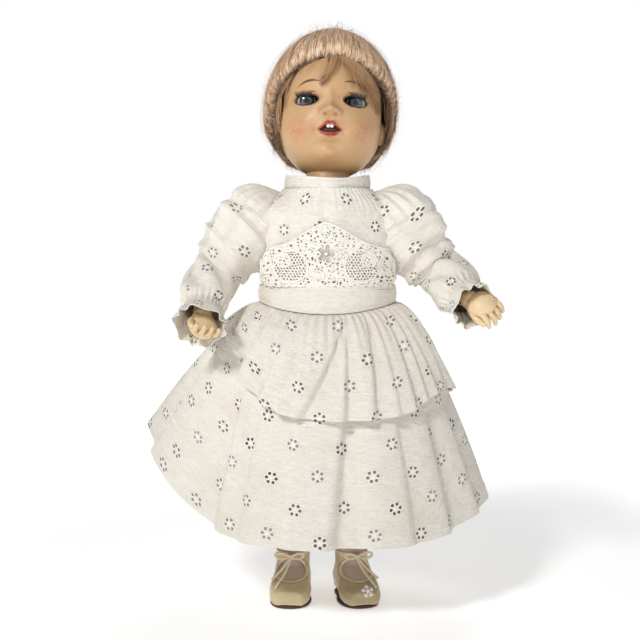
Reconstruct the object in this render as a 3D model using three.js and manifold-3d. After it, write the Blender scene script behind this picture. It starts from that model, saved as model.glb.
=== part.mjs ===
// A strung composition doll with sleeping eyes, dressed in a white cotton frock, socks and tied shoes.
// Millimetres, +Z up, facing -Y, standing on the soles of its shoes. Left and right are the doll's own.
import * as THREE from "three";
import { mergeVertices } from "three/addons/utils/BufferGeometryUtils.js";
import Module from "manifold-3d";

const wasm = await Module();
wasm.setup();

// Fits that many pieces share
const SEAT_GAP = 0.3; // between pieces that touch
const BALL_GAP = 0.3; // between a joint ball and its cup
const CLOTH = 1.6; // a folded layer of cotton

// Heights above the floor along the body
const HIP_Z = 200; // centres of the hip balls
const SHOULDER_Z = 336; // centres of the shoulder balls
const TORSO_TOP_Z = SHOULDER_Z + 24;
const NECK_PIVOT_Z = TORSO_TOP_Z + 4;
const HEAD_Z = NECK_PIVOT_Z + 66; // the level of the eyes

// Torso
const CHEST_WIDTH = 98;
const CHEST_DEPTH = 72;
const WAIST_WIDTH = 90;
const WAIST_DEPTH = 72;
const HIP_WIDTH = 106;
const HIP_DEPTH = 80;
const TORSO_WALL = 5;
const NECK_SOCKET_RADIUS = 22;

// Head
const HEAD_WIDTH = 88;
const HEAD_DEPTH = 98;
const HEAD_HEIGHT = 116;
const JAW_FULLNESS = 2.5; // 2 is a plain oval, more is rounder under the chin
const HEAD_WALL = 4.5;
const HEAD_TILT = THREE.MathUtils.degToRad(7); // chin up
const HEAD_ROLL = THREE.MathUtils.degToRad(2.5); // towards the doll's left
const NECK_RADIUS = 20;
const NECK_WALL = 5;
const NECK_HOLE_RADIUS = 9;
const EYE_RADIUS = 11.2;
const EYE_SPACING = 41;
const EYE_FORWARD = 28.5; // eye centres ahead of the head's centre
const EYE_OPENING_WIDTH = 18;
const EYE_OPENING_HEIGHT = 11.4;
const MOUTH_WIDTH = 17;
const MOUTH_OPENING = 5.6;
const MOUTH_DROP = 27; // below the eyes
const CROWN_CUT = 36; // crown opening above the eyes
const PATE_WALL = 2.2;
const HAIR_THICKNESS = 11;
const NAPE_DROP = 50; // the hair ends this far below the eyes
const HAIRLINE_RISE = 36; // of the forehead above the eyes
const TEMPLE_RISE = 8; // hair comes forward above this, and stays behind the ears below it

// Arms
const SHOULDER_SPACING = 114;
const SHOULDER_BALL_RADIUS = 14;
const UPPER_ARM_LENGTH = 66;
const UPPER_ARM_RADIUS = 13;
const ARM_SEAT_RADIUS = 12; // rim that rides on the shoulder ball
const ELBOW_BALL_RADIUS = 10;
const ELBOW_SEAT_RADIUS = 7;
const FOREARM_LENGTH = 52;
const FOREARM_RADIUS = 11.5;
const WRIST_RADIUS = 8.5;
const WRIST_BALL_RADIUS = 6;
const HAND_LENGTH = 34;
const HAND_WIDTH = 25;
const FINGER_RADIUS = 2.6;
const RIGHT_UPPER_ARM = new THREE.Vector3(-0.66, -0.06, -0.74);
const RIGHT_HAND = new THREE.Vector3(0.08, -0.72, -0.68);
const RIGHT_FOREARM = new THREE.Vector3(-0.08, -0.8, -0.58);
const LEFT_UPPER_ARM = new THREE.Vector3(0.64, -0.06, -0.74);
const LEFT_HAND = new THREE.Vector3(0.68, -0.66, -0.27);
const LEFT_FOREARM = new THREE.Vector3(0.3, -0.88, -0.34);

// Legs
const HIP_SPACING = 54;
const HIP_BALL_RADIUS = 21;
const THIGH_SEAT_RADIUS = 18.5;
const FEET_SHIFT = -4; // both feet stand a little to the doll's right
const KNEE_Z = 110;
const THIGH_RADIUS = 20;
const KNEE_BALL_RADIUS = 13;
const KNEE_SEAT_RADIUS = 9;
const CALF_RADIUS = 17;
const ANKLE_RADIUS = 11.5;
const HEEL_REACH = 22; // behind the hips
const TOE_REACH = 34;
const FOOT_WIDTH = 31;
const TOE_HEIGHT = 15;
const SOCK_KNIT = 1.3;
const SOCK_HEIGHT = 74;
const SHOE_LEATHER = 1.5;
const SHOE_HEIGHT = 42;
const SOLE_THICKNESS = 2.6;
const SOLE_WELT = 1;
const LACE_RADIUS = 1.1;
const INSTEP_OPENING = 26; // across the shoe's cut-out
const PEARL_RADIUS = 2.1;
const RIGHT_TOE_OUT = THREE.MathUtils.degToRad(4);
const LEFT_TOE_OUT = THREE.MathUtils.degToRad(13);

// Frock
const BODICE_EASE = 10; // between torso and bodice
const COLLAR_HEIGHT = 15;
const COLLAR_RADIUS = 36;
const ARMHOLE_RADIUS = 25;
const WAIST_Z = 268;
const WAISTBAND_HEIGHT = 17;
const LACE_HEIGHT = 40;
const LACE_PEAK = 14;
const LACE_THICKNESS = 1.8;
const PUFF_RADIUS = 35;
const SLEEVE_RADIUS = 21;
const CUFF_RADIUS = 20;
const SKIRT_LENGTH = 190;
const OVERSKIRT_LENGTH = 88;
const SKIRT_PLEATS = 14;
const SKIRT_PLEAT_DEPTH = 3.2;
const OVERSKIRT_PLEATS = 28;
const OVERSKIRT_STANDOFF = 3.4; // off the skirt's own line
const OVERSKIRT_PLEAT_DEPTH = 1.6;
const WAIST_EASE = 15; // between torso and waistband
const SKIRT_SIDE_REACH = 126;
const SKIRT_FRONT_REACH = 106;
const SKIRT_BACK_REACH = 104;
const WING_BEARING = THREE.MathUtils.degToRad(160); // the hem swings out to the doll's right and back
const WING_SPREAD = THREE.MathUtils.degToRad(32);
const WING_REACH = 46;
const WING_LIFT = 84;
const FLARE_REACH = 16; // and a little to its left
const FLARE_LIFT = 22;
const BUTTON_RADIUS = 4;
const BUTTON_THICKNESS = 2;
const BUTTON_COUNT = 4;

// Stringing
const ELASTIC_RADIUS = 1.8;
const WIRE_RADIUS = 1;

// Finishes
function finish(color, roughness, metalness = 0) {
  return new THREE.MeshStandardMaterial({ color, roughness, metalness });
}

const SKIN = finish(0xc69a72, 0.42);
const BODY_PAINT = finish(0xcba982, 0.5);
const BALL_WOOD = finish(0xb98e5e, 0.6);
const MOHAIR = finish(0xb38a66, 0.8);
const CARD = finish(0xb9a27c, 0.9);
const EYE_GLASS = finish(0x5a6b7c, 0.1);
const ENAMEL = finish(0xf4efe4, 0.25);
const PLASTER = finish(0xe9e4da, 0.95);
const LEAD = finish(0x6f7276, 0.6, 0.8);
const WIRE = finish(0x8d8a83, 0.4, 0.9);
const ELASTIC = finish(0xe2d8c4, 0.9);
const COTTON = finish(0xe9e4d9, 0.9);
const LACE_COTTON = finish(0xe3ddcf, 0.9);
const PEARL = finish(0xf1ece2, 0.3);
const SOCK_COTTON = finish(0xa58f86, 0.95);
const SHOE_KID = finish(0xbfa983, 0.5);
const SOLE_LEATHER = finish(0x4a2f22, 0.6);
const LACE_RIBBON = finish(0xcdb98f, 0.7);

const doll = new THREE.Group();

// Solid modelling helpers

function bare(geometry) {
  const copy = geometry.clone();
  copy.deleteAttribute("normal");
  copy.deleteAttribute("uv");
  return mergeVertices(copy, 1e-4);
}

function toSolid(geometry) {
  const closed = bare(geometry);
  return new wasm.Manifold(
    new wasm.Mesh({
      numProp: 3,
      vertProperties: closed.attributes.position.array,
      triVerts: new Uint32Array(closed.index.array),
    }),
  );
}

function toGeometry(solid) {
  const mesh = solid.getMesh();
  const geometry = new THREE.BufferGeometry();
  geometry.setAttribute("position", new THREE.BufferAttribute(mesh.vertProperties, 3));
  geometry.setIndex(new THREE.BufferAttribute(mesh.triVerts, 1));
  return geometry;
}

function cut(geometry, ...tools) {
  let solid = toSolid(geometry);
  for (const tool of tools) solid = solid.subtract(toSolid(tool));
  return toGeometry(solid);
}

function join(geometry, ...others) {
  let solid = toSolid(geometry);
  for (const other of others) solid = solid.add(toSolid(other));
  return toGeometry(solid);
}

function common(geometry, other) {
  return toGeometry(toSolid(geometry).intersect(toSolid(other)));
}

// The biggest body of a cut solid, without the crumbs that a cut can leave.
function mainBody(geometry) {
  const bodies = toSolid(geometry).decompose();
  bodies.sort((a, b) => b.volume() - a.volume());
  return toGeometry(bodies[0]);
}

function signedVolume(geometry) {
  const p = geometry.attributes.position;
  const index = geometry.index.array;
  const [a, b, c] = [new THREE.Vector3(), new THREE.Vector3(), new THREE.Vector3()];
  let sum = 0;
  for (let i = 0; i < index.length; i += 3) {
    a.fromBufferAttribute(p, index[i]);
    b.fromBufferAttribute(p, index[i + 1]);
    c.fromBufferAttribute(p, index[i + 2]);
    sum += a.dot(b.cross(c)) / 6;
  }
  return sum;
}

// Skins rings of points that all have the same count. An endless loft joins the last ring to the first.
function loft(rings, endless = false) {
  const count = rings[0].length;
  const points = rings.flat();
  const faces = [];
  const spans = endless ? rings.length : rings.length - 1;
  for (let i = 0; i < spans; i++) {
    const here = i * count;
    const there = ((i + 1) % rings.length) * count;
    for (let j = 0; j < count; j++) {
      const next = (j + 1) % count;
      faces.push(here + j, here + next, there + next, here + j, there + next, there + j);
    }
  }
  if (!endless) {
    for (const [ring, turn] of [[0, 1], [rings.length - 1, -1]]) {
      const centre = new THREE.Vector3();
      rings[ring].forEach((p) => centre.addScaledVector(p, 1 / count));
      const hub = points.push(centre) - 1;
      for (let j = 0; j < count; j++) {
        const [a, b] = [ring * count + j, ring * count + ((j + 1) % count)];
        faces.push(hub, ...(turn > 0 ? [b, a] : [a, b]));
      }
    }
  }
  const geometry = new THREE.BufferGeometry().setFromPoints(points);
  geometry.setIndex(faces);
  if (signedVolume(geometry) < 0) {
    for (let i = 0; i < faces.length; i += 3) [faces[i], faces[i + 1]] = [faces[i + 1], faces[i]];
    geometry.setIndex(faces);
  }
  return geometry;
}

// A level ring: a superellipse of the given half width and half depth.
function ovalRing(x, y, z, halfWidth, halfDepth, count = 32, power = 2.3) {
  const ring = [];
  for (let i = 0; i < count; i++) {
    const angle = (i / count) * 2 * Math.PI;
    const [c, s] = [Math.cos(angle), Math.sin(angle)];
    const squareness = 2 / power;
    ring.push(
      new THREE.Vector3(
        x + halfWidth * Math.sign(c) * Math.abs(c) ** squareness,
        y + halfDepth * Math.sign(s) * Math.abs(s) ** squareness,
        z,
      ),
    );
  }
  return ring;
}

// A turned form about Z from [radius, height] pairs.
function turned(profile, segments = 16) {
  const outline = profile.map(([radius, height]) => new THREE.Vector2(radius, height));
  return new THREE.LatheGeometry(outline, segments).rotateX(Math.PI / 2);
}

function ball(radius, x = 0, y = 0, z = 0, segments = 20) {
  return new THREE.SphereGeometry(radius, segments, Math.round(segments * 0.6)).translate(x, y, z);
}

// A joint's ball, turned so that its corners and not its flats come nearest to the cup.
function jointBall(radius, x, y, z, segments) {
  return ball(radius, 0, 0, 0, segments).rotateX(0.7).rotateZ(0.4).translate(x, y, z);
}

// A ball-shaped cutter whose flat facets all stay outside the radius.
function cup(radius, x, y, z, segments) {
  const rows = Math.round(segments * 0.6);
  const facets = Math.cos(Math.PI / segments) * Math.cos(Math.PI / (2 * rows));
  return ball(radius / facets, x, y, z, segments);
}

function ellipsoid(rx, ry, rz, x, y, z, segments = 20) {
  const form = new THREE.SphereGeometry(1, segments, Math.round(segments * 0.6));
  return form.scale(rx, ry, rz).translate(x, y, z);
}

// An oval cutter running along Y, centred on a point.
function slot(halfWidth, halfHeight, length, x, y, z, segments = 14) {
  const bar = new THREE.CylinderGeometry(1, 1, length, segments);
  return bar.scale(halfWidth, 1, halfHeight).translate(x, y, z);
}

function block(width, depth, height, x, y, z) {
  return new THREE.BoxGeometry(width, depth, height).translate(x, y, z);
}

function tube(points, radius, sides = 8, steps = 24, closed = false) {
  const path = new THREE.CatmullRomCurve3(points, closed, "centripetal");
  const section = new THREE.Shape();
  for (let i = 0; i < sides; i++) {
    const angle = (i / sides) * 2 * Math.PI;
    const [x, y] = [radius * Math.cos(angle), radius * Math.sin(angle)];
    if (i) section.lineTo(x, y);
    else section.moveTo(x, y);
  }
  section.closePath();
  return new THREE.ExtrudeGeometry(section, { extrudePath: path, steps, curveSegments: 1 });
}

function add(parent, name, geometry, material) {
  const mesh = new THREE.Mesh(geometry, material);
  mesh.name = name;
  parent.add(mesh);
  return mesh;
}

// A group at a point, with its Z along one direction and its X along the bend axis.
function limbFrame(parent, origin, along, bendAxis) {
  const z = along.clone().normalize();
  const x = bendAxis.clone().addScaledVector(z, -bendAxis.dot(z)).normalize();
  const y = new THREE.Vector3().crossVectors(z, x);
  const group = new THREE.Group();
  group.position.copy(origin);
  group.quaternion.setFromRotationMatrix(new THREE.Matrix4().makeBasis(x, y, z));
  parent.add(group);
  return group;
}

// Torso: a pressed shell in a front and a back half, with cups for the neck and the four limb balls.

const TORSO_STATIONS = [
  // height, half width, half depth
  [HIP_Z - 14, 0.3 * HIP_WIDTH, 0.34 * HIP_DEPTH],
  [HIP_Z - 4, 0.44 * HIP_WIDTH, 0.46 * HIP_DEPTH],
  [HIP_Z + 14, 0.5 * HIP_WIDTH, 0.5 * HIP_DEPTH],
  [HIP_Z + 34, 0.48 * HIP_WIDTH, 0.49 * HIP_DEPTH],
  [WAIST_Z - 4, 0.5 * WAIST_WIDTH, 0.5 * WAIST_DEPTH],
  [WAIST_Z + 24, 0.49 * CHEST_WIDTH, 0.51 * CHEST_DEPTH],
  [SHOULDER_Z - 16, 0.5 * CHEST_WIDTH, 0.5 * CHEST_DEPTH],
  [SHOULDER_Z + 4, 0.48 * CHEST_WIDTH, 0.44 * CHEST_DEPTH],
  [SHOULDER_Z + 15, 0.4 * CHEST_WIDTH, 0.39 * CHEST_DEPTH],
  [TORSO_TOP_Z, NECK_SOCKET_RADIUS + TORSO_WALL, NECK_SOCKET_RADIUS + TORSO_WALL],
];

// Half width and half depth of the torso at a height.
function torsoSection(z) {
  const found = TORSO_STATIONS.findIndex(([height]) => height >= z);
  const next = found < 0 ? TORSO_STATIONS.length - 1 : Math.max(found, 1);
  const [low, high] = [TORSO_STATIONS[next - 1], TORSO_STATIONS[next]];
  const share = (z - low[0]) / (high[0] - low[0]);
  return [1, 2].map((i) => THREE.MathUtils.lerp(low[i], high[i], share));
}

// The torso's form, grown outwards by a distance, whole or between two heights.
function torsoForm(grow, low = TORSO_STATIONS[0][0] - grow, high = TORSO_TOP_Z + grow) {
  const between = TORSO_STATIONS.slice(1, -1).map(([z]) => z);
  const levels = [low, ...between.filter((z) => z > low + 1 && z < high - 1), high];
  const rings = levels.map((z) => {
    const inside = THREE.MathUtils.clamp(z, TORSO_STATIONS[0][0], TORSO_TOP_Z);
    const [halfWidth, halfDepth] = torsoSection(inside);
    return ovalRing(0, 0, z, halfWidth + grow, halfDepth + grow, 16);
  });
  return loft(rings);
}

const SIDES = [
  { name: "right", side: -1 },
  { name: "left", side: 1 },
];

function torsoShell() {
  const cavity = torsoForm(-TORSO_WALL);
  const neckCup = cup(NECK_RADIUS + BALL_GAP, 0, 0, NECK_PIVOT_Z, 14);
  const tools = [cavity, neckCup];
  for (const { side } of SIDES) {
    const hipX = (side * HIP_SPACING) / 2;
    const reach = THIGH_RADIUS + 2; // room for the thigh when the doll sits
    const bowl = HIP_BALL_RADIUS + BALL_GAP;
    tools.push(cup(bowl, hipX, 0, HIP_Z, 12));
    const tall = 3 * THIGH_RADIUS;
    const lapY = -HIP_DEPTH / 2 - 7;
    tools.push(block(2 * reach, HIP_DEPTH, tall, hipX, lapY, HIP_Z - tall / 2 + reach));
    tools.push(block(2 * reach, 2 * HIP_DEPTH, tall, hipX, 0, HIP_Z - tall / 2 - 3));
    tools.push(
      cup(SHOULDER_BALL_RADIUS + BALL_GAP, (side * SHOULDER_SPACING) / 2, 0, SHOULDER_Z, 10),
    );
    const deep = CHEST_WIDTH / 3;
    const bore = 2 * ELASTIC_RADIUS;
    const cordHole = turned([[0, -deep], [bore, -deep], [bore, deep], [0, deep]], 6);
    tools.push(cordHole.rotateY(Math.PI / 2).translate((side * SHOULDER_SPACING) / 2.6, 0, SHOULDER_Z));
  }
  return mainBody(cut(torsoForm(0), ...tools));
}

function buildTorso() {
  const shell = torsoShell();
  const wide = 2 * HIP_WIDTH;
  const tall = 2 * SHOULDER_Z;
  const behind = block(wide, wide, tall, 0, wide / 2 - SEAT_GAP / 2, SHOULDER_Z);
  const ahead = block(wide, wide, tall, 0, -wide / 2 + SEAT_GAP / 2, SHOULDER_Z);
  add(doll, "torso_front", mainBody(cut(shell, behind)), BODY_PAINT);
  add(doll, "torso_back", mainBody(cut(shell, ahead)), BODY_PAINT);
}

// Stringing: one elastic from arm to arm, and one loop from hip to hip over the neck hook.

const ARM_CORD_END = SHOULDER_SPACING / 2 - SHOULDER_BALL_RADIUS - SEAT_GAP;
const HOOK_DROP = 26; // the hook's bend below the neck pivot
const HOOK_SLACK = 5.2; // the elastic's round bend stands off the hook's narrow one

function buildStringing() {
  const armCord = [-1, -0.5, 0.5, 1].map((share) => {
    const bow = 1 - share * share; // round the neck hook, a little behind and below the straight line
    return new THREE.Vector3(share * ARM_CORD_END, 5 * bow, SHOULDER_Z - 2 * bow);
  });
  add(doll, "arm_elastic", tube(armCord, ELASTIC_RADIUS, 5, 8), ELASTIC);
  const crownZ = NECK_PIVOT_Z - HOOK_DROP;
  const hipEnd = new THREE.Vector3(HIP_SPACING / 2 - 8, 0, HIP_Z + HIP_BALL_RADIUS + SEAT_GAP);
  const right = [
    new THREE.Vector3(-hipEnd.x, hipEnd.y, hipEnd.z),
    new THREE.Vector3(-12, -2, HIP_Z + 60),
    new THREE.Vector3(-5, -2, crownZ - 14),
  ];
  const bend = new THREE.Vector3(0, -2, crownZ + ELASTIC_RADIUS + WIRE_RADIUS + HOOK_SLACK);
  const left = right.map((p) => new THREE.Vector3(-p.x, p.y, p.z)).reverse();
  add(doll, "leg_elastic", tube([...right, bend, ...left], ELASTIC_RADIUS, 5, 18), ELASTIC);
}

buildTorso();
buildStringing();

// Head: a hollow shell with a modelled face, a crown opening closed by a card pate, and a mohair wig.

const EYES_UP = HEAD_Z - NECK_PIVOT_Z; // eye level above the neck pivot
const FACE = [
  // across, up, out, spread across, spread up: soft swellings and hollows of the face
  [0, -14, 7.5, 4.6, 4.4], // tip of the nose
  [0, -4, 2.6, 3.6, 6.5], // bridge
  [-4.6, -17, 2.6, 2.6, 2.6], // nostril wings
  [4.6, -17, 2.6, 2.6, 2.6],
  [0, -MOUTH_DROP + 3.6, 3.2, 8.5, 2.4], // upper lip
  [0, -MOUTH_DROP - 5, 3.4, 6.5, 2.4], // lower lip
  [0, -MOUTH_DROP - 11, -1.4, 9, 3], // hollow under the lip
  [0, -46, 4, 9, 7], // chin
  [-24, -22, 3.4, 12, 12], // cheeks
  [24, -22, 3.4, 12, 12],
  [-EYE_SPACING / 2, 0, -3, 10, 7], // eye hollows
  [EYE_SPACING / 2, 0, -3, 10, 7],
  [0, 26, 2, 26, 16], // forehead
];

function gathered(angle, share) {
  return angle - share * Math.sin(angle);
}

// A point of the head's skin towards a direction, grown outwards by a distance.
function headPoint(direction, grow, withFace) {
  const half = [HEAD_WIDTH / 2 + grow, HEAD_DEPTH / 2 + grow, HEAD_HEIGHT / 2 + grow];
  const p = new THREE.Vector3(direction.x * half[0], direction.y * half[1], direction.z * half[2]);
  if (direction.z < 0) {
    const oval = Math.max(Math.hypot(direction.x, direction.y), 0.01);
    const full = Math.max(1 - Math.abs(direction.z) ** JAW_FULLNESS, 0) ** (1 / JAW_FULLNESS);
    p.x *= full / oval;
    p.y *= full / oval;
  }
  const jowl = Math.exp(-(((p.z + 26) / 20) ** 2));
  p.x *= 1 + 0.05 * jowl;
  p.y *= 1 + 0.03 * jowl;
  if (withFace && direction.y < 0) {
    for (const [x, z, out, spreadX, spreadZ] of FACE) {
      const fall = ((p.x - x) / spreadX) ** 2 + ((p.z - z) / spreadZ) ** 2;
      p.y -= out * Math.exp(-fall) * Math.min(1, -2.5 * direction.y);
    }
  }
  return p;
}

function headForm(grow, around, rise, withFace) {
  const form = new THREE.SphereGeometry(1, around, rise);
  const place = form.attributes.position;
  const direction = new THREE.Vector3();
  for (let i = 0; i < place.count; i++) {
    direction.fromBufferAttribute(place, i);
    const level = Math.hypot(direction.x, direction.z);
    const bearing = gathered(Math.atan2(direction.x, direction.z), withFace ? 0.5 : 0);
    const height = -direction.y;
    direction.set(level * Math.sin(bearing), -level * Math.cos(bearing), -height);
    const p = headPoint(direction, grow, withFace);
    place.setXYZ(i, p.x, p.y, p.z + EYES_UP);
  }
  return form;
}

const CROWN_LEAN = THREE.MathUtils.degToRad(-16); // the crown opening slopes to the back

function aboveCrown(gap) {
  const tall = 100;
  const slab = block(3 * tall, 3 * tall, tall, 0, 0, tall / 2 + gap);
  return slab.rotateX(CROWN_LEAN).translate(0, 0, EYES_UP + CROWN_CUT);
}

function eyeCentre(side) {
  return new THREE.Vector3((side * EYE_SPACING) / 2, -EYE_FORWARD, EYES_UP);
}

function ear(side, grow) {
  const across = side * (HEAD_WIDTH / 2 - 0.5);
  return ellipsoid(4.5 + grow, 8 + grow, 12 + grow, across, 5, EYES_UP - 16, 8);
}

const TEETH_Z = EYES_UP - MOUTH_DROP + 2.2;
const TEETH_Y = -HEAD_DEPTH / 2 + 6;

function teethPocket(grow) {
  return block(15 + 2 * grow, 3 + 2 * grow, 4 + 2 * grow, 0, TEETH_Y, TEETH_Z + 2);
}

function headShell() {
  const neckTop = EYES_UP - HEAD_HEIGHT / 2 + 16;
  const neck = turned([[0, 0], [NECK_RADIUS - 1, 0], [NECK_RADIUS - 1, neckTop], [0, neckTop]], 14);
  const outside = join(
    headForm(0, 28, 17, true),
    neck,
    ball(NECK_RADIUS, 0, 0, 0, 14),
    ear(-1, 0),
    ear(1, 0),
  );
  const plugSeat = NECK_RADIUS - NECK_WALL;
  const hookReach = 2 * NECK_RADIUS;
  const tools = [
    headForm(-HEAD_WALL, 12, 8, false),
    turned([[0, 0], [plugSeat - 2, 0], [plugSeat - 2, neckTop], [0, neckTop]], 12),
    cup(plugSeat, 0, 0, 0, 12),
    turned([[0, -hookReach], [NECK_HOLE_RADIUS, -hookReach], [NECK_HOLE_RADIUS, 0], [0, 0]], 10),
    aboveCrown(0),
    slot(MOUTH_WIDTH / 2, MOUTH_OPENING / 2, 28, 0, -HEAD_DEPTH / 2, EYES_UP - MOUTH_DROP - 0.6),
    teethPocket(SEAT_GAP),
    block(15 + 2 * SEAT_GAP, 12, 4 + 2 * SEAT_GAP, 0, TEETH_Y + 6, TEETH_Z + 2),
  ];
  for (const { side } of SIDES) {
    const eye = eyeCentre(side);
    tools.push(cup(EYE_RADIUS + BALL_GAP, eye.x, eye.y, eye.z, 12));
    const lidY = eye.y - 1.2 * EYE_RADIUS;
    const [halfWidth, halfHeight] = [EYE_OPENING_WIDTH / 2, EYE_OPENING_HEIGHT / 2];
    tools.push(slot(halfWidth, halfHeight, 2 * EYE_RADIUS, eye.x, lidY, eye.z + 0.5));
  }
  return mainBody(cut(outside, ...tools));
}

function wigForm() {
  const halfWidth = HEAD_WIDTH / 2 + HAIR_THICKNESS + 4;
  const halfDepth = HEAD_DEPTH / 2 + HAIR_THICKNESS;
  const top = HEAD_HEIGHT / 2 + 1.3 * HAIR_THICKNESS;
  const locks = 14; // combed waves round the head
  const form = new THREE.SphereGeometry(1, 28, 9).rotateX(Math.PI / 2);
  const place = form.attributes.position;
  for (let i = 0; i < place.count; i++) {
    const [x, y, z] = [place.getX(i), place.getY(i), place.getZ(i)];
    const wave = 1 + 0.012 * Math.sin(locks * Math.atan2(y, x)) * Math.sqrt(Math.max(0, 1 - z * z));
    const tuck = z < -0.35 ? 1 - 0.5 * (-0.35 - z) : 1; // turned under at the nape
    place.setXYZ(i, x * halfWidth * wave * tuck, y * halfDepth * wave * tuck + 2, z * top + EYES_UP);
  }
  return form;
}

function buildWig(head) {
  const brow = slot(0.62 * HEAD_WIDTH, HEAD_HEIGHT / 2, HEAD_DEPTH, 0, -HEAD_DEPTH / 2, 0, 20);
  brow.translate(0, 0, EYES_UP + HAIRLINE_RISE - HEAD_HEIGHT / 2);
  const wide = 2 * HEAD_WIDTH;
  const tall = HEAD_HEIGHT;
  const cheeks = block(wide, HEAD_DEPTH, tall, 0, -HEAD_DEPTH / 2, EYES_UP + TEMPLE_RISE - tall / 2);
  const underNape = block(wide, wide, tall, 0, 0, -tall / 2).rotateX(0.12);
  underNape.translate(0, 0, EYES_UP - NAPE_DROP);
  const wig = cut(
    wigForm(),
    headForm(9 * SEAT_GAP, 18, 11, false),
    brow,
    cheeks,
    underNape,
    ear(-1, SEAT_GAP),
    ear(1, SEAT_GAP),
  );
  add(head, "wig", mainBody(wig), MOHAIR);
}

function buildTeeth(head) {
  const strip = teethPocket(0);
  const teeth = [-1, 1].map((side) => ellipsoid(1.8, 1.5, 3.2, side * 1.9, TEETH_Y, TEETH_Z - 0.6, 7));
  add(head, "upper_teeth", join(strip, ...teeth), ENAMEL);
}

// Sleeping eyes: two glass eyes on a wire rocker with a lead weight, pivoting in plaster pads.

function buildEyes(head) {
  const hub = new THREE.Vector3(0, -EYE_FORWARD + 18, EYES_UP - 6);
  const arms = [];
  for (const { name, side } of SIDES) {
    const eye = eyeCentre(side);
    add(head, `eye_${name}`, jointBall(EYE_RADIUS, eye.x, eye.y, eye.z, 12), EYE_GLASS);
    const inward = new THREE.Vector3(-side * 0.62, 0.76, -0.2).normalize();
    arms.push(eye.clone().addScaledVector(inward, EYE_RADIUS + SEAT_GAP));
    const away = eye.clone().add(new THREE.Vector3(side * 9, 8, 5));
    const inHead = headForm(-HEAD_WALL - 2 * SEAT_GAP, 12, 8, false);
    const lump = common(ball(9, away.x, away.y, away.z, 8), inHead);
    const pad = cut(lump, cup(EYE_RADIUS + BALL_GAP, eye.x, eye.y, eye.z, 12));
    add(head, `eye_plaster_${name}`, mainBody(pad), PLASTER);
  }
  const weightZ = EYES_UP - 26;
  const stem = tube([hub, new THREE.Vector3(hub.x, hub.y, weightZ + 8 + SEAT_GAP)], WIRE_RADIUS, 5, 1);
  const bar = tube([arms[0], hub, arms[1]], WIRE_RADIUS, 5, 6);
  add(head, "eye_rocker", join(bar, stem), WIRE);
  add(head, "eye_weight", turned([[0, -8], [6, -8], [8, -4], [7, 5], [4, 8], [0, 8]], 10)
    .translate(hub.x, hub.y, weightZ), LEAD);
}

// Neck: a wooden button inside the neck, with the wire hook that the leg elastic pulls on.

function buildNeck() {
  const neck = new THREE.Group();
  neck.position.set(0, 0, NECK_PIVOT_Z);
  doll.add(neck);
  const radius = NECK_RADIUS - NECK_WALL - BALL_GAP;
  const button = cut(ball(radius, 0, 0, 0, 12), block(60, 60, 40, 0, 0, 22));
  add(neck, "neck_button", button, BALL_WOOD);
  const swing = 6; // half the hook's mouth
  const hook = [
    new THREE.Vector3(0, 0, -radius - SEAT_GAP),
    new THREE.Vector3(0, swing - 2, -radius - 5),
    new THREE.Vector3(0, swing - 2, -HOOK_DROP + 4),
    new THREE.Vector3(0, -2, -HOOK_DROP),
    new THREE.Vector3(0, -swing - 2, -HOOK_DROP + 5),
  ];
  add(neck, "neck_hook", tube(hook, WIRE_RADIUS, 5, 12), WIRE);
}

function buildHead() {
  const head = new THREE.Group();
  head.position.set(0, 0, NECK_PIVOT_Z);
  head.rotation.set(-HEAD_TILT, HEAD_ROLL, 0);
  doll.add(head);
  add(head, "head_shell", headShell(), SKIN);
  const dome = common(headForm(0, 12, 8, false), aboveCrown(SEAT_GAP));
  add(head, "pate", mainBody(cut(dome, headForm(-PATE_WALL, 12, 8, false))), CARD);
  buildWig(head);
  buildTeeth(head);
  buildEyes(head);
}

buildNeck();
buildHead();

// Arms: wooden shoulder and elbow balls, turned composition limbs, a hand on a wrist ball, and a sleeve.

// A sleeve's wall from [distance along the arm, radius] pairs, gathered into folds.
function sleeveWall(stations, folds, depth, thickness) {
  const around = 16;
  const skin = (inset) =>
    stations.map(([along, radius], i) => {
      const fullness = depth * Math.sin((Math.PI * i) / (stations.length - 1));
      const ring = [];
      for (let j = 0; j < around; j++) {
        const angle = (j / around) * 2 * Math.PI;
        const r = Math.max(radius + fullness * Math.cos(folds * angle + 0.7 * i) - inset, 0.6);
        ring.push(new THREE.Vector3(r * Math.cos(angle), r * Math.sin(angle), along));
      }
      return ring;
    });
  return loft([...skin(0), ...skin(thickness).reverse()], true);
}

function sleeveFill(stations, grow) {
  const last = stations[stations.length - 1];
  const profile = stations.map(([along, radius]) => [radius + grow, along]);
  return turned([[0, stations[0][0] - grow], ...profile, [0, last[0]]], 16);
}

const UPPER_SLEEVE = [
  [-28, 1],
  [-20, 0.62 * PUFF_RADIUS],
  [-4, 0.94 * PUFF_RADIUS],
  [10, PUFF_RADIUS],
  [28, 0.9 * PUFF_RADIUS],
  [44, SLEEVE_RADIUS + 4],
  [UPPER_ARM_LENGTH - 8, SLEEVE_RADIUS + 2],
];
const LOWER_SLEEVE = [
  [-12, 0.72 * SLEEVE_RADIUS],
  [0, 0.97 * SLEEVE_RADIUS],
  [20, SLEEVE_RADIUS],
  [FOREARM_LENGTH - 14, CUFF_RADIUS - 1],
  [FOREARM_LENGTH - 5, CUFF_RADIUS - 4],
  [FOREARM_LENGTH + 1, CUFF_RADIUS - 4],
  [FOREARM_LENGTH + 14, CUFF_RADIUS + 3],
];

function inFrame(geometry, frame) {
  frame.updateMatrix();
  return geometry.clone().applyMatrix4(frame.matrix);
}

function outOfFrame(geometry, frame) {
  frame.updateMatrix();
  return geometry.clone().applyMatrix4(frame.matrix.clone().invert());
}

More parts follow.
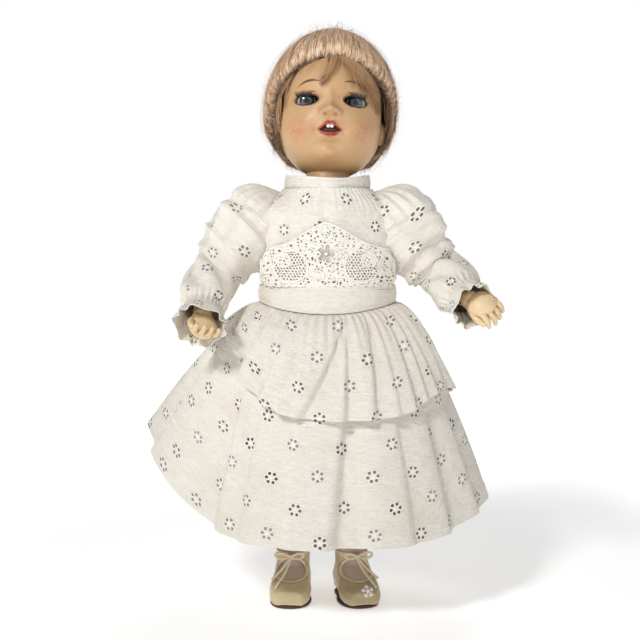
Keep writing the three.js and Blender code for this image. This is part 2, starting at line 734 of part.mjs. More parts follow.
function upperArm() {
  const l = UPPER_ARM_LENGTH;
  const r = UPPER_ARM_RADIUS;
  const profile = [
    [0, 3],
    [ARM_SEAT_RADIUS, 3],
    [ARM_SEAT_RADIUS, 8],
    [r, 18],
    [r - 0.5, 34],
    [r - 2, l - 18],
    [ELBOW_SEAT_RADIUS + 1.5, l - 9],
    [ELBOW_SEAT_RADIUS, l - 5],
    [0, l - 5],
  ];
  const shoulderSeat = cup(SHOULDER_BALL_RADIUS + BALL_GAP, 0, 0, 0, 12);
  const elbowSeat = cup(ELBOW_BALL_RADIUS + BALL_GAP, 0, 0, l, 10);
  return mainBody(cut(turned(profile, 12), shoulderSeat, elbowSeat));
}

function forearm() {
  const l = FOREARM_LENGTH;
  const profile = [
    [0, 4],
    [ELBOW_SEAT_RADIUS, 4],
    [ELBOW_SEAT_RADIUS + 2, 9],
    [FOREARM_RADIUS, 20],
    [FOREARM_RADIUS - 1, 32],
    [WRIST_RADIUS, l - 4],
    [WRIST_RADIUS - 1, l],
    [0, l],
  ];
  const elbowSeat = cup(ELBOW_BALL_RADIUS + BALL_GAP, 0, 0, 0, 10);
  const wristSeat = cup(WRIST_BALL_RADIUS + BALL_GAP, 0, 0, l, 8);
  return mainBody(cut(turned(profile, 12), elbowSeat, wristSeat));
}

// A cupped hand along +Z with its palm towards +Y and its thumb on one side.
function hand(thumbSide) {
  const palmLength = 0.55 * HAND_LENGTH;
  const palmZ = WRIST_BALL_RADIUS + palmLength / 2 + 1;
  const palm = ellipsoid(HAND_WIDTH / 2, 7, palmLength / 2 + 3, 0, 0, palmZ, 9);
  const wrist = turned([[0, 1], [5, 1], [6, WRIST_BALL_RADIUS + 6], [0, WRIST_BALL_RADIUS + 6]], 8);
  const knuckleZ = WRIST_BALL_RADIUS + palmLength - 1;
  const fingers = [];
  for (let i = 0; i < 4; i++) {
    const across = -thumbSide * (i - 1.5) * (0.23 * HAND_WIDTH);
    const reach = HAND_LENGTH * [0.46, 0.52, 0.5, 0.42][i];
    fingers.push(
      tube(
        [
          new THREE.Vector3(across, 0, knuckleZ - 5),
          new THREE.Vector3(1.08 * across, 0.5, knuckleZ + 0.45 * reach),
          new THREE.Vector3(1.12 * across, 4, knuckleZ + reach),
        ],
        FINGER_RADIUS,
        5,
        2,
      ),
    );
  }
  const thumb = [
    new THREE.Vector3(0.3 * thumbSide * HAND_WIDTH, 1, WRIST_BALL_RADIUS + 6),
    new THREE.Vector3(0.52 * thumbSide * HAND_WIDTH, 4, WRIST_BALL_RADIUS + 13),
    new THREE.Vector3(0.5 * thumbSide * HAND_WIDTH, 8, WRIST_BALL_RADIUS + 20),
  ];
  const wristBall = ball(WRIST_BALL_RADIUS, 0, 0, 0, 8);
  return join(palm, wrist, wristBall, ...fingers, tube(thumb, FINGER_RADIUS + 0.3, 5, 2));
}

const sleeveForms = []; // the puffed sleeves as filled forms, for what lies beside them

function buildArm({ name, side }, upperAlong, foreAlong, handAlong, palmTowards) {
  const shoulder = new THREE.Vector3((side * SHOULDER_SPACING) / 2, 0, SHOULDER_Z);
  const bend = new THREE.Vector3().crossVectors(upperAlong, foreAlong).normalize();
  const upper = limbFrame(doll, shoulder, upperAlong, bend);
  const elbow = shoulder.clone().addScaledVector(upperAlong.clone().normalize(), UPPER_ARM_LENGTH);
  const fore = limbFrame(doll, elbow, foreAlong, bend);
  const wrist = elbow.clone().addScaledVector(foreAlong.clone().normalize(), FOREARM_LENGTH);
  const palmAcross = new THREE.Vector3().crossVectors(palmTowards, handAlong);
  const palm = limbFrame(doll, wrist, handAlong, palmAcross);
  add(upper, `shoulder_ball_${name}`, jointBall(SHOULDER_BALL_RADIUS, 0, 0, 0, 12), BALL_WOOD);
  add(upper, `upper_arm_${name}`, upperArm(), BODY_PAINT);
  add(fore, `elbow_ball_${name}`, jointBall(ELBOW_BALL_RADIUS, 0, 0, 0, 10), BALL_WOOD);
  add(fore, `forearm_${name}`, forearm(), BODY_PAINT);
  add(palm, `hand_${name}`, hand(side), BODY_PAINT);

  const bodice = torsoForm(BODICE_EASE + CLOTH + 2 * SEAT_GAP);
  const puff = sleeveWall(UPPER_SLEEVE, 8, 1.2, CLOTH);
  const upperSleeve = mainBody(cut(puff, outOfFrame(bodice, upper)));
  add(upper, `upper_sleeve_${name}`, upperSleeve, COTTON);
  sleeveForms.push(inFrame(sleeveFill(UPPER_SLEEVE, 2 + 2 * SEAT_GAP), upper));
  const above = outOfFrame(inFrame(sleeveFill(UPPER_SLEEVE, 2 * SEAT_GAP), upper), fore);
  const lowerSleeve = cut(sleeveWall(LOWER_SLEEVE, 7, 0.9, CLOTH), above, outOfFrame(bodice, fore));
  add(fore, `lower_sleeve_${name}`, mainBody(lowerSleeve), COTTON);
}

buildArm(SIDES[0], RIGHT_UPPER_ARM, RIGHT_FOREARM, RIGHT_HAND, new THREE.Vector3(0.4, -0.8, 0.4));
buildArm(SIDES[1], LEFT_UPPER_ARM, LEFT_FOREARM, LEFT_HAND, new THREE.Vector3(-0.3, 0.9, -0.3));

// Legs: wooden hip and knee balls, a turned thigh, a shaped lower leg, a knit sock and a tied shoe.

const FOOT_FLOOR = SOLE_THICKNESS + 2 * SEAT_GAP + SOCK_KNIT; // underside of the bare foot
const ANKLE_Y = 6;
const SOCK_OUT = SEAT_GAP + SOCK_KNIT;
const SHOE_IN = SOCK_OUT + SEAT_GAP;
const SHOE_OUT = SHOE_IN + SHOE_LEATHER;

const LEG_STATIONS = [
  // height, radius, centre behind the knee
  [KNEE_Z - 6, KNEE_SEAT_RADIUS, 0],
  [KNEE_Z - 13, 1.2 * KNEE_SEAT_RADIUS, 0],
  [KNEE_Z - 32, CALF_RADIUS, 2.5],
  [ANKLE_Y + 34, 1.05 * ANKLE_RADIUS, ANKLE_Y],
  [ANKLE_Y + 14, ANKLE_RADIUS, ANKLE_Y],
];
const FOOT_STATIONS = [
  // ahead of the heel, share of the width, top of the foot
  [0, 0.5, 16],
  [0.12, 0.78, 30],
  [0.34, 0.84, 36],
  [0.56, 0.9, 27],
  [0.76, 1, 20],
  [0.92, 0.92, TOE_HEIGHT],
  [1, 0.62, 0.75 * TOE_HEIGHT],
];

// The lower leg and foot, grown outwards by a distance: the bare leg, the sock and the shoe all follow it.
function legForm(grow) {
  const legRings = LEG_STATIONS.map(([height, radius, y], i) => {
    const z = i === 0 ? height + grow : height;
    return ovalRing(0, y, z, radius + grow, radius + grow, 10, 2);
  });
  const footRings = FOOT_STATIONS.map(([ahead, share, top], i) => {
    const end = i === 0 ? grow : i === FOOT_STATIONS.length - 1 ? -grow : 0;
    const y = HEEL_REACH - ahead * (HEEL_REACH + TOE_REACH) + end;
    const halfHeight = (top - FOOT_FLOOR) / 2 + grow;
    const ring = ovalRing(0, 0, 0, (share * FOOT_WIDTH) / 2 + grow, halfHeight, 10, 2.6);
    return ring.map((p) => new THREE.Vector3(p.x, y, p.y + (top + FOOT_FLOOR) / 2));
  });
  return join(loft(legRings), loft(footRings));
}

function slabAbove(z) {
  const wide = 200;
  return block(wide, wide, wide, 0, 0, z + wide / 2);
}

function slabBelow(z) {
  const wide = 200;
  return block(wide, wide, wide, 0, 0, z - wide / 2);
}

function thigh(length) {
  const profile = [
    [0, 4],
    [THIGH_SEAT_RADIUS, 4],
    [THIGH_SEAT_RADIUS, 12],
    [THIGH_RADIUS, 26],
    [0.9 * THIGH_RADIUS, 0.52 * length],
    [0.66 * THIGH_RADIUS, length - 18],
    [KNEE_SEAT_RADIUS, length - 6],
    [0, length - 6],
  ];
  const hipSeat = cup(HIP_BALL_RADIUS + BALL_GAP, 0, 0, 0, 12);
  const kneeSeat = cup(KNEE_BALL_RADIUS + BALL_GAP, 0, 0, length, 12);
  return mainBody(cut(turned(profile, 12), hipSeat, kneeSeat));
}

function shoeUpper() {
  const openingZ = 0.64 * SHOE_HEIGHT;
  const instep = ellipsoid(INSTEP_OPENING / 2, 15, 9, 0, -13, openingZ, 10);
  const flapGap = block(5, 40, SHOE_HEIGHT, 0, -20, SHOE_HEIGHT);
  const sock = legForm(SHOE_IN);
  const trims = [slabAbove(SHOE_HEIGHT), slabBelow(SOLE_THICKNESS + SEAT_GAP), instep, flapGap];
  return mainBody(cut(legForm(SHOE_OUT), sock, ...trims));
}

function shoeSole() {
  const side = FOOT_STATIONS.map(([ahead, share], i) => {
    const end = i === 0 ? 1 : i === FOOT_STATIONS.length - 1 ? -1 : 0;
    const reach = SHOE_OUT + SOLE_WELT;
    const y = HEEL_REACH - ahead * (HEEL_REACH + TOE_REACH) + end * reach;
    return new THREE.Vector2((0.46 * share * FOOT_WIDTH) + reach, y);
  });
  const outline = new THREE.Shape();
  outline.moveTo(0, side[0].y);
  outline.splineThru(side);
  outline.lineTo(0, side[side.length - 1].y);
  outline.splineThru(side.map((p) => new THREE.Vector2(-p.x, p.y)).reverse());
  const options = { depth: SOLE_THICKNESS, bevelEnabled: false, curveSegments: 2 };
  return new THREE.ExtrudeGeometry(outline, options);
}

// A bow: a knot, two loops and two tails of round lace over the flaps.
function shoeTie() {
  const y = -10.4;
  const z = SHOE_HEIGHT - 3;
  const at = (x, ahead, up) => new THREE.Vector3(x, y - ahead, z + up);
  const laces = [ellipsoid(2.6, 2.2, 2.4, 0, y, z, 6)];
  for (const { side } of SIDES) {
    const bow = [
      at(0, 0, 0),
      at(5 * side, 1, 3),
      at(10 * side, 0, 2.5),
      at(11 * side, 1, -0.5),
      at(5 * side, 2, -1),
    ];
    laces.push(tube(bow, LACE_RADIUS, 4, 7, true));
    const tail = [at(0, 0, 0), at(3 * side, 3, -6), at(6 * side - 3, 8, -13)];
    laces.push(tube(tail, LACE_RADIUS, 4, 2));
  }
  const [bow, ...others] = laces;
  return mainBody(cut(join(bow, ...others), legForm(SHOE_OUT + SEAT_GAP)));
}

// Pearl beads sewn in a flower on the vamp of one shoe.
function pearlFlower() {
  const [x, y, z] = [5, -1.02 * TOE_REACH, TOE_HEIGHT + 2];
  const petals = 5;
  const ring = 1.7 * PEARL_RADIUS;
  const flower = new THREE.Group();
  flower.position.set(x, y, z);
  flower.rotation.set(THREE.MathUtils.degToRad(50), 0, 0);
  const beads = [ball(PEARL_RADIUS, 0, 0, 0, 6)];
  for (let i = 0; i < petals; i++) {
    const angle = (i / petals) * 2 * Math.PI;
    beads.push(ball(PEARL_RADIUS, ring * Math.cos(angle), ring * Math.sin(angle), -0.8, 6));
  }
  const [heart, ...others] = beads;
  return cut(inFrame(join(heart, ...others), flower), legForm(SHOE_OUT + SEAT_GAP));
}

function buildLeg({ name, side }, toeOut) {
  const hip = new THREE.Vector3((side * HIP_SPACING) / 2, 0, HIP_Z);
  const knee = new THREE.Vector3(hip.x + FEET_SHIFT, 0, KNEE_Z);
  const along = knee.clone().sub(hip);
  const acrossKnee = new THREE.Vector3(1, 0, 0);
  const upper = limbFrame(doll, hip, along, acrossKnee);
  add(upper, `hip_ball_${name}`, jointBall(HIP_BALL_RADIUS, 0, 0, 0, 12), BALL_WOOD);
  add(upper, `thigh_${name}`, thigh(along.length()), BODY_PAINT);
  const lower = new THREE.Group();
  lower.position.set(knee.x, 0, 0);
  lower.rotation.z = side * toeOut;
  doll.add(lower);
  const kneeSeat = cup(KNEE_BALL_RADIUS + BALL_GAP, 0, 0, KNEE_Z, 12);
  add(lower, `knee_ball_${name}`, jointBall(KNEE_BALL_RADIUS, 0, 0, KNEE_Z, 12), BALL_WOOD);
  add(lower, `lower_leg_${name}`, mainBody(cut(legForm(0), kneeSeat)), BODY_PAINT);
  const sock = cut(legForm(SOCK_OUT), legForm(SEAT_GAP), slabAbove(SOCK_HEIGHT));
  add(lower, `sock_${name}`, mainBody(sock), SOCK_COTTON);
  add(lower, `shoe_upper_${name}`, shoeUpper(), SHOE_KID);
  add(lower, `shoe_sole_${name}`, shoeSole(), SOLE_LEATHER);
  add(lower, `shoe_tie_${name}`, shoeTie(), LACE_RIBBON);
  return lower;
}

buildLeg(SIDES[0], RIGHT_TOE_OUT);
const leftShoe = buildLeg(SIDES[1], LEFT_TOE_OUT);
add(leftShoe, "pearl_flower_left", mainBody(pearlFlower()), PEARL);

// Frock: a bodice with a stand collar and a lace panel, a waistband, two gathered skirts, and back buttons.

function buildBodice() {
  const hemZ = WAIST_Z + WAISTBAND_HEIGHT / 2 + SEAT_GAP;
  const topZ = TORSO_TOP_Z + 2;
  const outside = torsoForm(BODICE_EASE + CLOTH, hemZ, topZ);
  const neckline = COLLAR_RADIUS + CLOTH + SEAT_GAP;
  const [under, over] = [topZ - neckline, topZ + neckline];
  const neckHole = turned([[0, under], [neckline, under], [neckline, over], [0, over]], 18);
  const armholes = SIDES.flatMap(({ side }) => {
    const x = (side * SHOULDER_SPACING) / 2;
    const r = ARMHOLE_RADIUS;
    return [
      ellipsoid(0.85 * r, 0.9 * r, 0.8 * r, x + 2 * side, 0, SHOULDER_Z - 9, 9),
      cup(SHOULDER_BALL_RADIUS + 1, x, 0, SHOULDER_Z, 10),
    ];
  });
  const backSlit = block(SEAT_GAP, CHEST_DEPTH, 2 * (topZ - hemZ), 0, CHEST_DEPTH / 2, (topZ + hemZ) / 2);
  const shell = cut(outside, torsoForm(BODICE_EASE), neckHole, ...armholes, backSlit);
  add(doll, "bodice", mainBody(shell), COTTON);
  const collarTop = topZ - 4 + COLLAR_HEIGHT;
  const collar = turned(
    [
      [COLLAR_RADIUS, topZ - 4],
      [COLLAR_RADIUS + CLOTH, topZ - 4],
      [COLLAR_RADIUS + CLOTH - 1, collarTop],
      [COLLAR_RADIUS - 1, collarTop],
      [COLLAR_RADIUS, topZ - 4],
    ],
    18,
  );
  add(doll, "stand_collar", collar, COTTON);
}

// The lace panel: a slice of the bodice's front, scalloped below and peaked in the middle above.
function buildLace() {
  const low = WAIST_Z + WAISTBAND_HEIGHT / 2 + 4;
  const halfWidth = CHEST_WIDTH / 2 + BODICE_EASE - 1;
  const scallops = 7;
  const outline = new THREE.Shape();
  outline.moveTo(-halfWidth, low + 0.75 * LACE_HEIGHT);
  outline.quadraticCurveTo(-0.5 * halfWidth, low + LACE_HEIGHT, 0, low + LACE_HEIGHT + LACE_PEAK);
  outline.quadraticCurveTo(0.5 * halfWidth, low + LACE_HEIGHT, halfWidth, low + 0.75 * LACE_HEIGHT);
  outline.lineTo(halfWidth, low);
  const step = (2 * halfWidth) / scallops;
  for (let i = 0; i < scallops; i++) {
    const x = halfWidth - i * step;
    outline.quadraticCurveTo(x - step / 2, low - 6, x - step, low);
  }
  const far = 120;
  const slab = new THREE.ExtrudeGeometry(outline, { depth: far, bevelEnabled: false, curveSegments: 3 });
  slab.rotateX(Math.PI / 2);
  const inside = torsoForm(BODICE_EASE + CLOTH + SEAT_GAP);
  const outside = torsoForm(BODICE_EASE + CLOTH + SEAT_GAP + LACE_THICKNESS);
  add(doll, "lace_panel", mainBody(cut(common(cut(outside, inside), slab), ...sleeveForms)), LACE_COTTON);
}

const WAIST_HALF_WIDTH = WAIST_WIDTH / 2 + WAIST_EASE;
const WAIST_HALF_DEPTH = WAIST_DEPTH / 2 + WAIST_EASE;
const SKIRT_TOP_Z = WAIST_Z - WAISTBAND_HEIGHT / 2 - SEAT_GAP;

function buildWaistband() {
  const ring = (z, inset) => ovalRing(0, 0, z, WAIST_HALF_WIDTH - inset, WAIST_HALF_DEPTH - inset, 22, 2);
  const [low, high] = [WAIST_Z - WAISTBAND_HEIGHT / 2, WAIST_Z + WAISTBAND_HEIGHT / 2];
  const band = loft([ring(low, 0), ring(high, 1), ring(high, 1 + CLOTH), ring(low, CLOTH)], true);
  add(doll, "waistband", band, COTTON);
}

function bell(angle, bearing, spread) {
  const apart = Math.atan2(Math.sin(angle - bearing), Math.cos(angle - bearing));
  return Math.exp(-((apart / spread) ** 2));
}

// Where the gathered skirt hangs at a bearing and a share of its length, standing out by a distance.
function skirtPoint(angle, share, out) {
  const wing = bell(angle, WING_BEARING, WING_SPREAD);
  const flare = bell(angle, 0, WING_SPREAD);
  const reachY = Math.sin(angle) < 0 ? SKIRT_FRONT_REACH : SKIRT_BACK_REACH;
  const swell = share ** 0.5;
  const extra = (WING_REACH * wing + FLARE_REACH * flare) * share;
  const pleat = SKIRT_PLEAT_DEPTH * share ** 0.7 * Math.cos(SKIRT_PLEATS * angle);
  const x = THREE.MathUtils.lerp(WAIST_HALF_WIDTH - 4, SKIRT_SIDE_REACH, swell) + extra + pleat + out;
  const y = THREE.MathUtils.lerp(WAIST_HALF_DEPTH - 4, reachY, swell) + extra + pleat + out;
  const drop = share * (SKIRT_LENGTH - WING_LIFT * wing - FLARE_LIFT * flare);
  return new THREE.Vector3(x * Math.cos(angle), y * Math.sin(angle), SKIRT_TOP_Z - drop);
}

// A gathered tier: the wall of cloth from the waist to a share of the skirt's fall, off the skirt's line.
function tier(around, levels, fall, standOff) {
  const skin = (inset) =>
    levels.map((level) => {
      const ring = [];
      for (let i = 0; i < around; i++) {
        const angle = (i / around) * 2 * Math.PI;
        ring.push(skirtPoint(angle, level * fall(angle), standOff(angle, level) - inset));
      }
      return ring;
    });
  return loft([...skin(0), ...skin(CLOTH).reverse()], true);
}

function buildSkirts() {
  add(doll, "skirt", tier(4 * SKIRT_PLEATS, [0, 0.15, 0.5, 1], () => 1, () => 0), COTTON);
  const fall = (angle) => {
    const shortRight = bell(angle, WING_BEARING + 0.5, 0.7);
    return (OVERSKIRT_LENGTH / SKIRT_LENGTH) * (1 - 0.22 * shortRight);
  };
  const standOff = (angle, level) =>
    OVERSKIRT_STANDOFF + OVERSKIRT_PLEAT_DEPTH * level * (1 + Math.cos(OVERSKIRT_PLEATS * angle));
  add(doll, "overskirt", tier(2 * OVERSKIRT_PLEATS, [0, 0.35, 1], fall, standOff), COTTON);
}

// The back closes with a placket and buttons, as frocks of this kind do.
function buildBackClosing() {
  const low = WAIST_Z + WAISTBAND_HEIGHT / 2 + 2;
  const spacing = (SHOULDER_Z + 10 - low) / BUTTON_COUNT;
  for (let i = 0; i < BUTTON_COUNT; i++) {
    const z = low + (i + 0.5) * spacing;
    const widest = Math.max(...[-1, 0, 1].map((end) => torsoSection(z + end * BUTTON_RADIUS)[1]));
    const backY = widest + BODICE_EASE + CLOTH + SEAT_GAP;
    const rim = 0.6 * BUTTON_THICKNESS;
    const profile = [[0, 0], [BUTTON_RADIUS, 0], [BUTTON_RADIUS, rim], [0, BUTTON_THICKNESS]];
    const button = turned(profile, 9).rotateX(-Math.PI / 2).translate(0, backY, z);
    add(doll, `back_button_${i + 1}`, button, PEARL);
  }
}

buildBodice();
buildLace();
buildWaistband();
buildSkirts();
buildBackClosing();

// Stand the doll on the floor, centred under its bounding box.
const extent = new THREE.Box3().setFromObject(doll, true);
const middle = extent.getCenter(new THREE.Vector3());
doll.position.set(-middle.x, -middle.y, -extent.min.z);

export default doll;
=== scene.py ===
# A strung composition doll with sleeping eyes, in a white eyelet frock, knit socks and tied kid shoes.
# Metres, +Z up, facing -Y. Left and right are the doll's own.
import math
from contextlib import contextmanager

import bpy
import numpy as np
from mathutils import Matrix, Vector


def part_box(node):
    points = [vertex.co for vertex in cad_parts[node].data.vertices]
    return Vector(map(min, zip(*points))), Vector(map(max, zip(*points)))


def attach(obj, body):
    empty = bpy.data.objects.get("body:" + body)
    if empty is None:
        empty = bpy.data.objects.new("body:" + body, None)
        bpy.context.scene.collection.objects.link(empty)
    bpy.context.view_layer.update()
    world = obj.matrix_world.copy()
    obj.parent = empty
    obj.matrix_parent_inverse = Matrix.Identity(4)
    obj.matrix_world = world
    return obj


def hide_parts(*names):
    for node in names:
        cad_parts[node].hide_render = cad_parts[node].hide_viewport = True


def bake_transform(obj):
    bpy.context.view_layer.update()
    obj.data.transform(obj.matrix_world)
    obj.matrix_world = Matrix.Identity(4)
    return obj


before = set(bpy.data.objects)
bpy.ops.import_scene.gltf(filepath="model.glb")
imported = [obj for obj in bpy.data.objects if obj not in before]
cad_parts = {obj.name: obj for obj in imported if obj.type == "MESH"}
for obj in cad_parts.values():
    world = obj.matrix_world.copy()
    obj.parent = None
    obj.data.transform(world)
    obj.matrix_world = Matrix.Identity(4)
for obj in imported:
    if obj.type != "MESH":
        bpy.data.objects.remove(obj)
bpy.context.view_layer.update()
bpy.ops.object.select_all(action="DESELECT")

MM = 0.001
WAIST_LOW, WAIST_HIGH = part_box("waistband")
BODY_X = (WAIST_LOW[0] + WAIST_HIGH[0]) / 2  # the body's own middle
BODY_Y = (WAIST_LOW[1] + WAIST_HIGH[1]) / 2
SIDES = {"right": -1, "left": 1}

# Frock sizes
WAIST_Z = 0.268
WAISTBAND_HEIGHT = 0.017
WAIST_HALF_WIDTH = 0.060
WAIST_HALF_DEPTH = 0.051
SKIRT_TOP = WAIST_Z - WAISTBAND_HEIGHT / 2
SKIRT_LENGTH = 0.190
SKIRT_SIDE_REACH = 0.126
SKIRT_FRONT_REACH = 0.106
SKIRT_BACK_REACH = 0.104
WING_BEARING = math.radians(160)
WING_SPREAD = math.radians(32)
WING_REACH = 0.046
WING_LIFT = 0.084
FLARE_REACH = 0.016
FLARE_LIFT = 0.022
WAIST_TUCK = 0.004
SKIRT_GAP = 0.0003  # between the skirt's top and the waistband
HEM_EASE = 0.0024
OVERSKIRT_LENGTH = 0.088
OVERSKIRT_SHARE = 88 / 190
OVERSKIRT_CUT = 0.46  # the same share on the flat cut
OVERSKIRT_EASE = 0.0034
CLOTH = 0.0006  # one layer of cotton
SEAM = 0.00002  # points of a closed edge that are sewn together

# Random numbers that come out the same in every run
chance = np.random.default_rng(7)


def rgb(red, green, blue):
    """A colour as read from a screen, turned by the sRGB curve to the linear values that materials take."""
    shares = [c / 255 for c in (red, green, blue)]
    linear = [s / 12.92 if s <= 0.04 else ((s + 0.055) / 1.055) ** 2.4 for s in shares]
    return (*linear, 1.0)


def choose(*objects):
    """Selects these objects alone and makes the first one active."""
    bpy.ops.object.select_all(action="DESELECT")
    for one in objects:
        one.select_set(True)
    bpy.context.view_layer.objects.active = objects[0]


@contextmanager
def editing(piece):
    """Edit mode, with the whole of a piece selected."""
    choose(piece)
    bpy.ops.object.mode_set(mode="EDIT")
    bpy.ops.mesh.select_all(action="SELECT")
    yield
    bpy.ops.object.mode_set(mode="OBJECT")


def cut_away(piece, kind, parts, chosen):
    """Deletes the chosen points or faces of a piece."""
    with editing(piece):
        bpy.ops.mesh.select_mode(type=kind)
        bpy.ops.mesh.select_all(action="DESELECT")
    getattr(piece.data, parts).foreach_set("select", chosen)
    bpy.ops.object.mode_set(mode="EDIT")
    bpy.ops.mesh.delete(type=kind)
    bpy.ops.object.mode_set(mode="OBJECT")


def named(name):
    """Names the object that an operator has just added."""
    piece = bpy.context.active_object
    piece.name = name
    piece.data.name = name
    return piece


def settle(piece):
    """Puts the piece's place, turn and scale into its mesh."""
    choose(piece)
    bpy.ops.object.transform_apply(location=True, rotation=True, scale=True)


def finish_with(piece, kind, **values):
    """Adds a modifier, sets it and applies it."""
    choose(piece)
    modifier = piece.modifiers.new(kind.title(), kind)
    for key, value in values.items():
        setattr(modifier, key, value)
    bpy.ops.object.modifier_apply(modifier=modifier.name)


def thicken(piece, thickness, offset=-1.0):
    finish_with(piece, "SOLIDIFY", thickness=thickness, offset=offset)


def melt(piece, voxel, rounds):
    """Remeshes a piece into one even skin and rounds it off."""
    finish_with(piece, "REMESH", mode="VOXEL", voxel_size=voxel)
    finish_with(piece, "SMOOTH", factor=0.5, iterations=rounds)


def cut_out(piece, cutter):
    finish_with(piece, "BOOLEAN", operation="DIFFERENCE", object=cutter, solver="EXACT")
    bpy.data.objects.remove(cutter)


def places(piece):
    flat = np.empty(3 * len(piece.data.vertices))
    piece.data.vertices.foreach_get("co", flat)
    return flat.reshape(-1, 3)


def move_to(piece, points):
    piece.data.vertices.foreach_set("co", np.asarray(points, float).ravel())
    piece.data.update()


def ball(name, segments, rings, radius=1):
    """A new ball about the origin, and its points."""
    bpy.ops.mesh.primitive_uv_sphere_add(segments=segments, ring_count=rings, radius=radius, location=(0, 0, 0))
    piece = named(name)
    return piece, places(piece)


def rod(name, sides, radius, length, place=(0, 0, 0)):
    """A new upright cylinder, and its points."""
    bpy.ops.mesh.primitive_cylinder_add(vertices=sides, radius=radius, depth=length, location=place)
    piece = named(name)
    return piece, places(piece)


def map_cut(piece, flat):
    """Gives a piece its cut map: each point's place on the flat, in metres."""
    layers = piece.data.uv_layers
    layer = layers.active or layers.new(name="cut")
    layer.name = "cut"
    corners = np.empty(len(piece.data.loops), int)
    piece.data.loops.foreach_get("vertex_index", corners)
    layer.data.foreach_set("uv", np.asarray(flat)[corners].ravel())


def smooth(piece, angle=None):
    choose(piece)
    if angle is None:
        bpy.ops.object.shade_smooth()
    else:
        bpy.ops.object.shade_smooth_by_angle(angle=math.radians(angle))


def paint(piece, name, values):
    """Stores one number for each point of a piece, for its material to read."""
    attribute = piece.data.attributes.new(name, "FLOAT", "POINT")
    attribute.data.foreach_set("value", np.asarray(values, np.float32))


def dress(piece, material, body=None, node=None, angle=None):
    """Smooths a finished piece, then gives it its material and slot, the body that it rides on and the CAD node
    that it replaces."""
    smooth(piece, angle)
    piece.data.materials.clear()
    piece.data.materials.append(material)
    if node:
        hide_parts(node)
    if body:
        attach(piece, body)


def soft_step(x, low, high):
    t = np.clip((x - low) / (high - low), 0, 1)
    return t * t * (3 - 2 * t)


def hump(x, middle, spread):
    """A soft rise to one about a middle."""
    return np.exp(-(((x - middle) / spread) ** 2))


def spot(x, z, across, up, wide, tall):
    """A soft round patch of one on a face."""
    return np.exp(-(((x - across) / wide) ** 2) - ((z - up) / tall) ** 2)


def arc(t, first, bend, last):
    """A curve from the first point to the last, drawn towards a bend."""
    return (1 - t) ** 2 * first + 2 * t * (1 - t) * bend + t**2 * last


def eased(x, step, levels, values):
    """Reads a table with its corners taken off."""
    return sum(np.interp(x + k, levels, values) for k in (-step, 0, step)) / 3


def turn_from(angle, bearing):
    """The way round from a bearing to an angle, within half a turn."""
    return np.arctan2(np.sin(angle - bearing), np.cos(angle - bearing))


def ripple(x, y, seed, waves=9):
    """Gentle uneven waviness of about one, with no grid to it."""
    pick = np.random.default_rng(seed)
    total = np.zeros_like(x)
    for _ in range(waves):
        turn, pitch, phase = pick.uniform(0, 2 * math.pi), pick.uniform(0.5, 1.6), pick.uniform(0, 2 * math.pi)
        total += np.sin(pitch * (x * math.cos(turn) + y * math.sin(turn)) + phase)
    return total / math.sqrt(waves)


# Camera, light and floor


CAMERA_X = BODY_X - 0.0065
CAMERA_AWAY = 1.0
CAMERA_HEIGHT = 0.310
AIM_HEIGHT = 0.2471
SENSOR = 36
LENS = 64.0
NEAREST = 0.01
WALL_LIGHT = 0.62  # the wall gives less light than it shows, so folds keep their shadows
WALL_FADE = (0.24, 0.42, 1.0, 0.13)  # from and to which height of view, and the strengths there
WHITE = (1.0, 1.0, 1.0, 1.0)
LAMPS = {
    # place, aim, size and power
    "key": ((-0.95, -1.45, 1.55), (0, 0, 0.28), 0.42, 25.5),
    "fill": ((1.3, -1.2, 0.9), (0, 0, 0.25), 1.2, 2.2),
    "rim": ((0.3, 1.2, 1.3), (0, 0, 0.35), 0.8, 6),
}
FLOOR_SIZE = 8
FLOOR_LEVEL = -0.0004
FLOOR_TONE = (0.94, 0.94, 0.94, 1.0)
FLOOR_GLOW = (0.44, 0.44, 0.44, 1.0)
GLOW_REACH = (0.3, 1.1)


def turn_towards(thing, aim):
    thing.rotation_euler = (Vector(aim) - thing.location).to_track_quat("-Z", "Y").to_euler()


def place_camera():
    """The photograph was taken from in front, at the height of the doll's chest, looking slightly down."""
    bpy.ops.object.camera_add(location=(CAMERA_X, BODY_Y - CAMERA_AWAY, CAMERA_HEIGHT))
    camera = bpy.context.active_object
    turn_towards(camera, (CAMERA_X, BODY_Y, AIM_HEIGHT))
    camera.data.sensor_width = SENSOR
    camera.data.lens = LENS
    camera.data.clip_start = NEAREST
    bpy.context.scene.camera = camera


def add_light(name, place, aim, size, power):
    bpy.ops.object.light_add(type="AREA", location=place)
    light = bpy.context.active_object
    light.name = name
    light.data.shape = "DISK"
    light.data.size = size
    light.data.energy = power
    turn_towards(light, aim)


def light_studio():
    """A bright wall all round the doll, a dimmer ceiling, and three soft lamps."""
    world = bpy.data.worlds.new("studio")
    bpy.context.scene.world = world
    world.use_nodes = True
    background = world.node_tree.nodes["Background"].inputs
    w = Weaver(world.node_tree)
    _, _, height = w.split(w.wire("ShaderNodeTexCoord", output="Generated"))
    wall = w.ramp(height, *WALL_FADE)
    seen = w.ramp(w.wire("ShaderNodeLightPath", output="Is Camera Ray"), 0.0, 1.0, WALL_LIGHT, 1.0)
    w.feed(background["Strength"], seen * wall)
    w.feed(background["Color"], WHITE)
    for name, values in LAMPS.items():
        add_light(name, *values)
    bpy.context.scene.view_settings.view_transform = "Standard"
    bpy.context.scene.view_settings.look = "None"


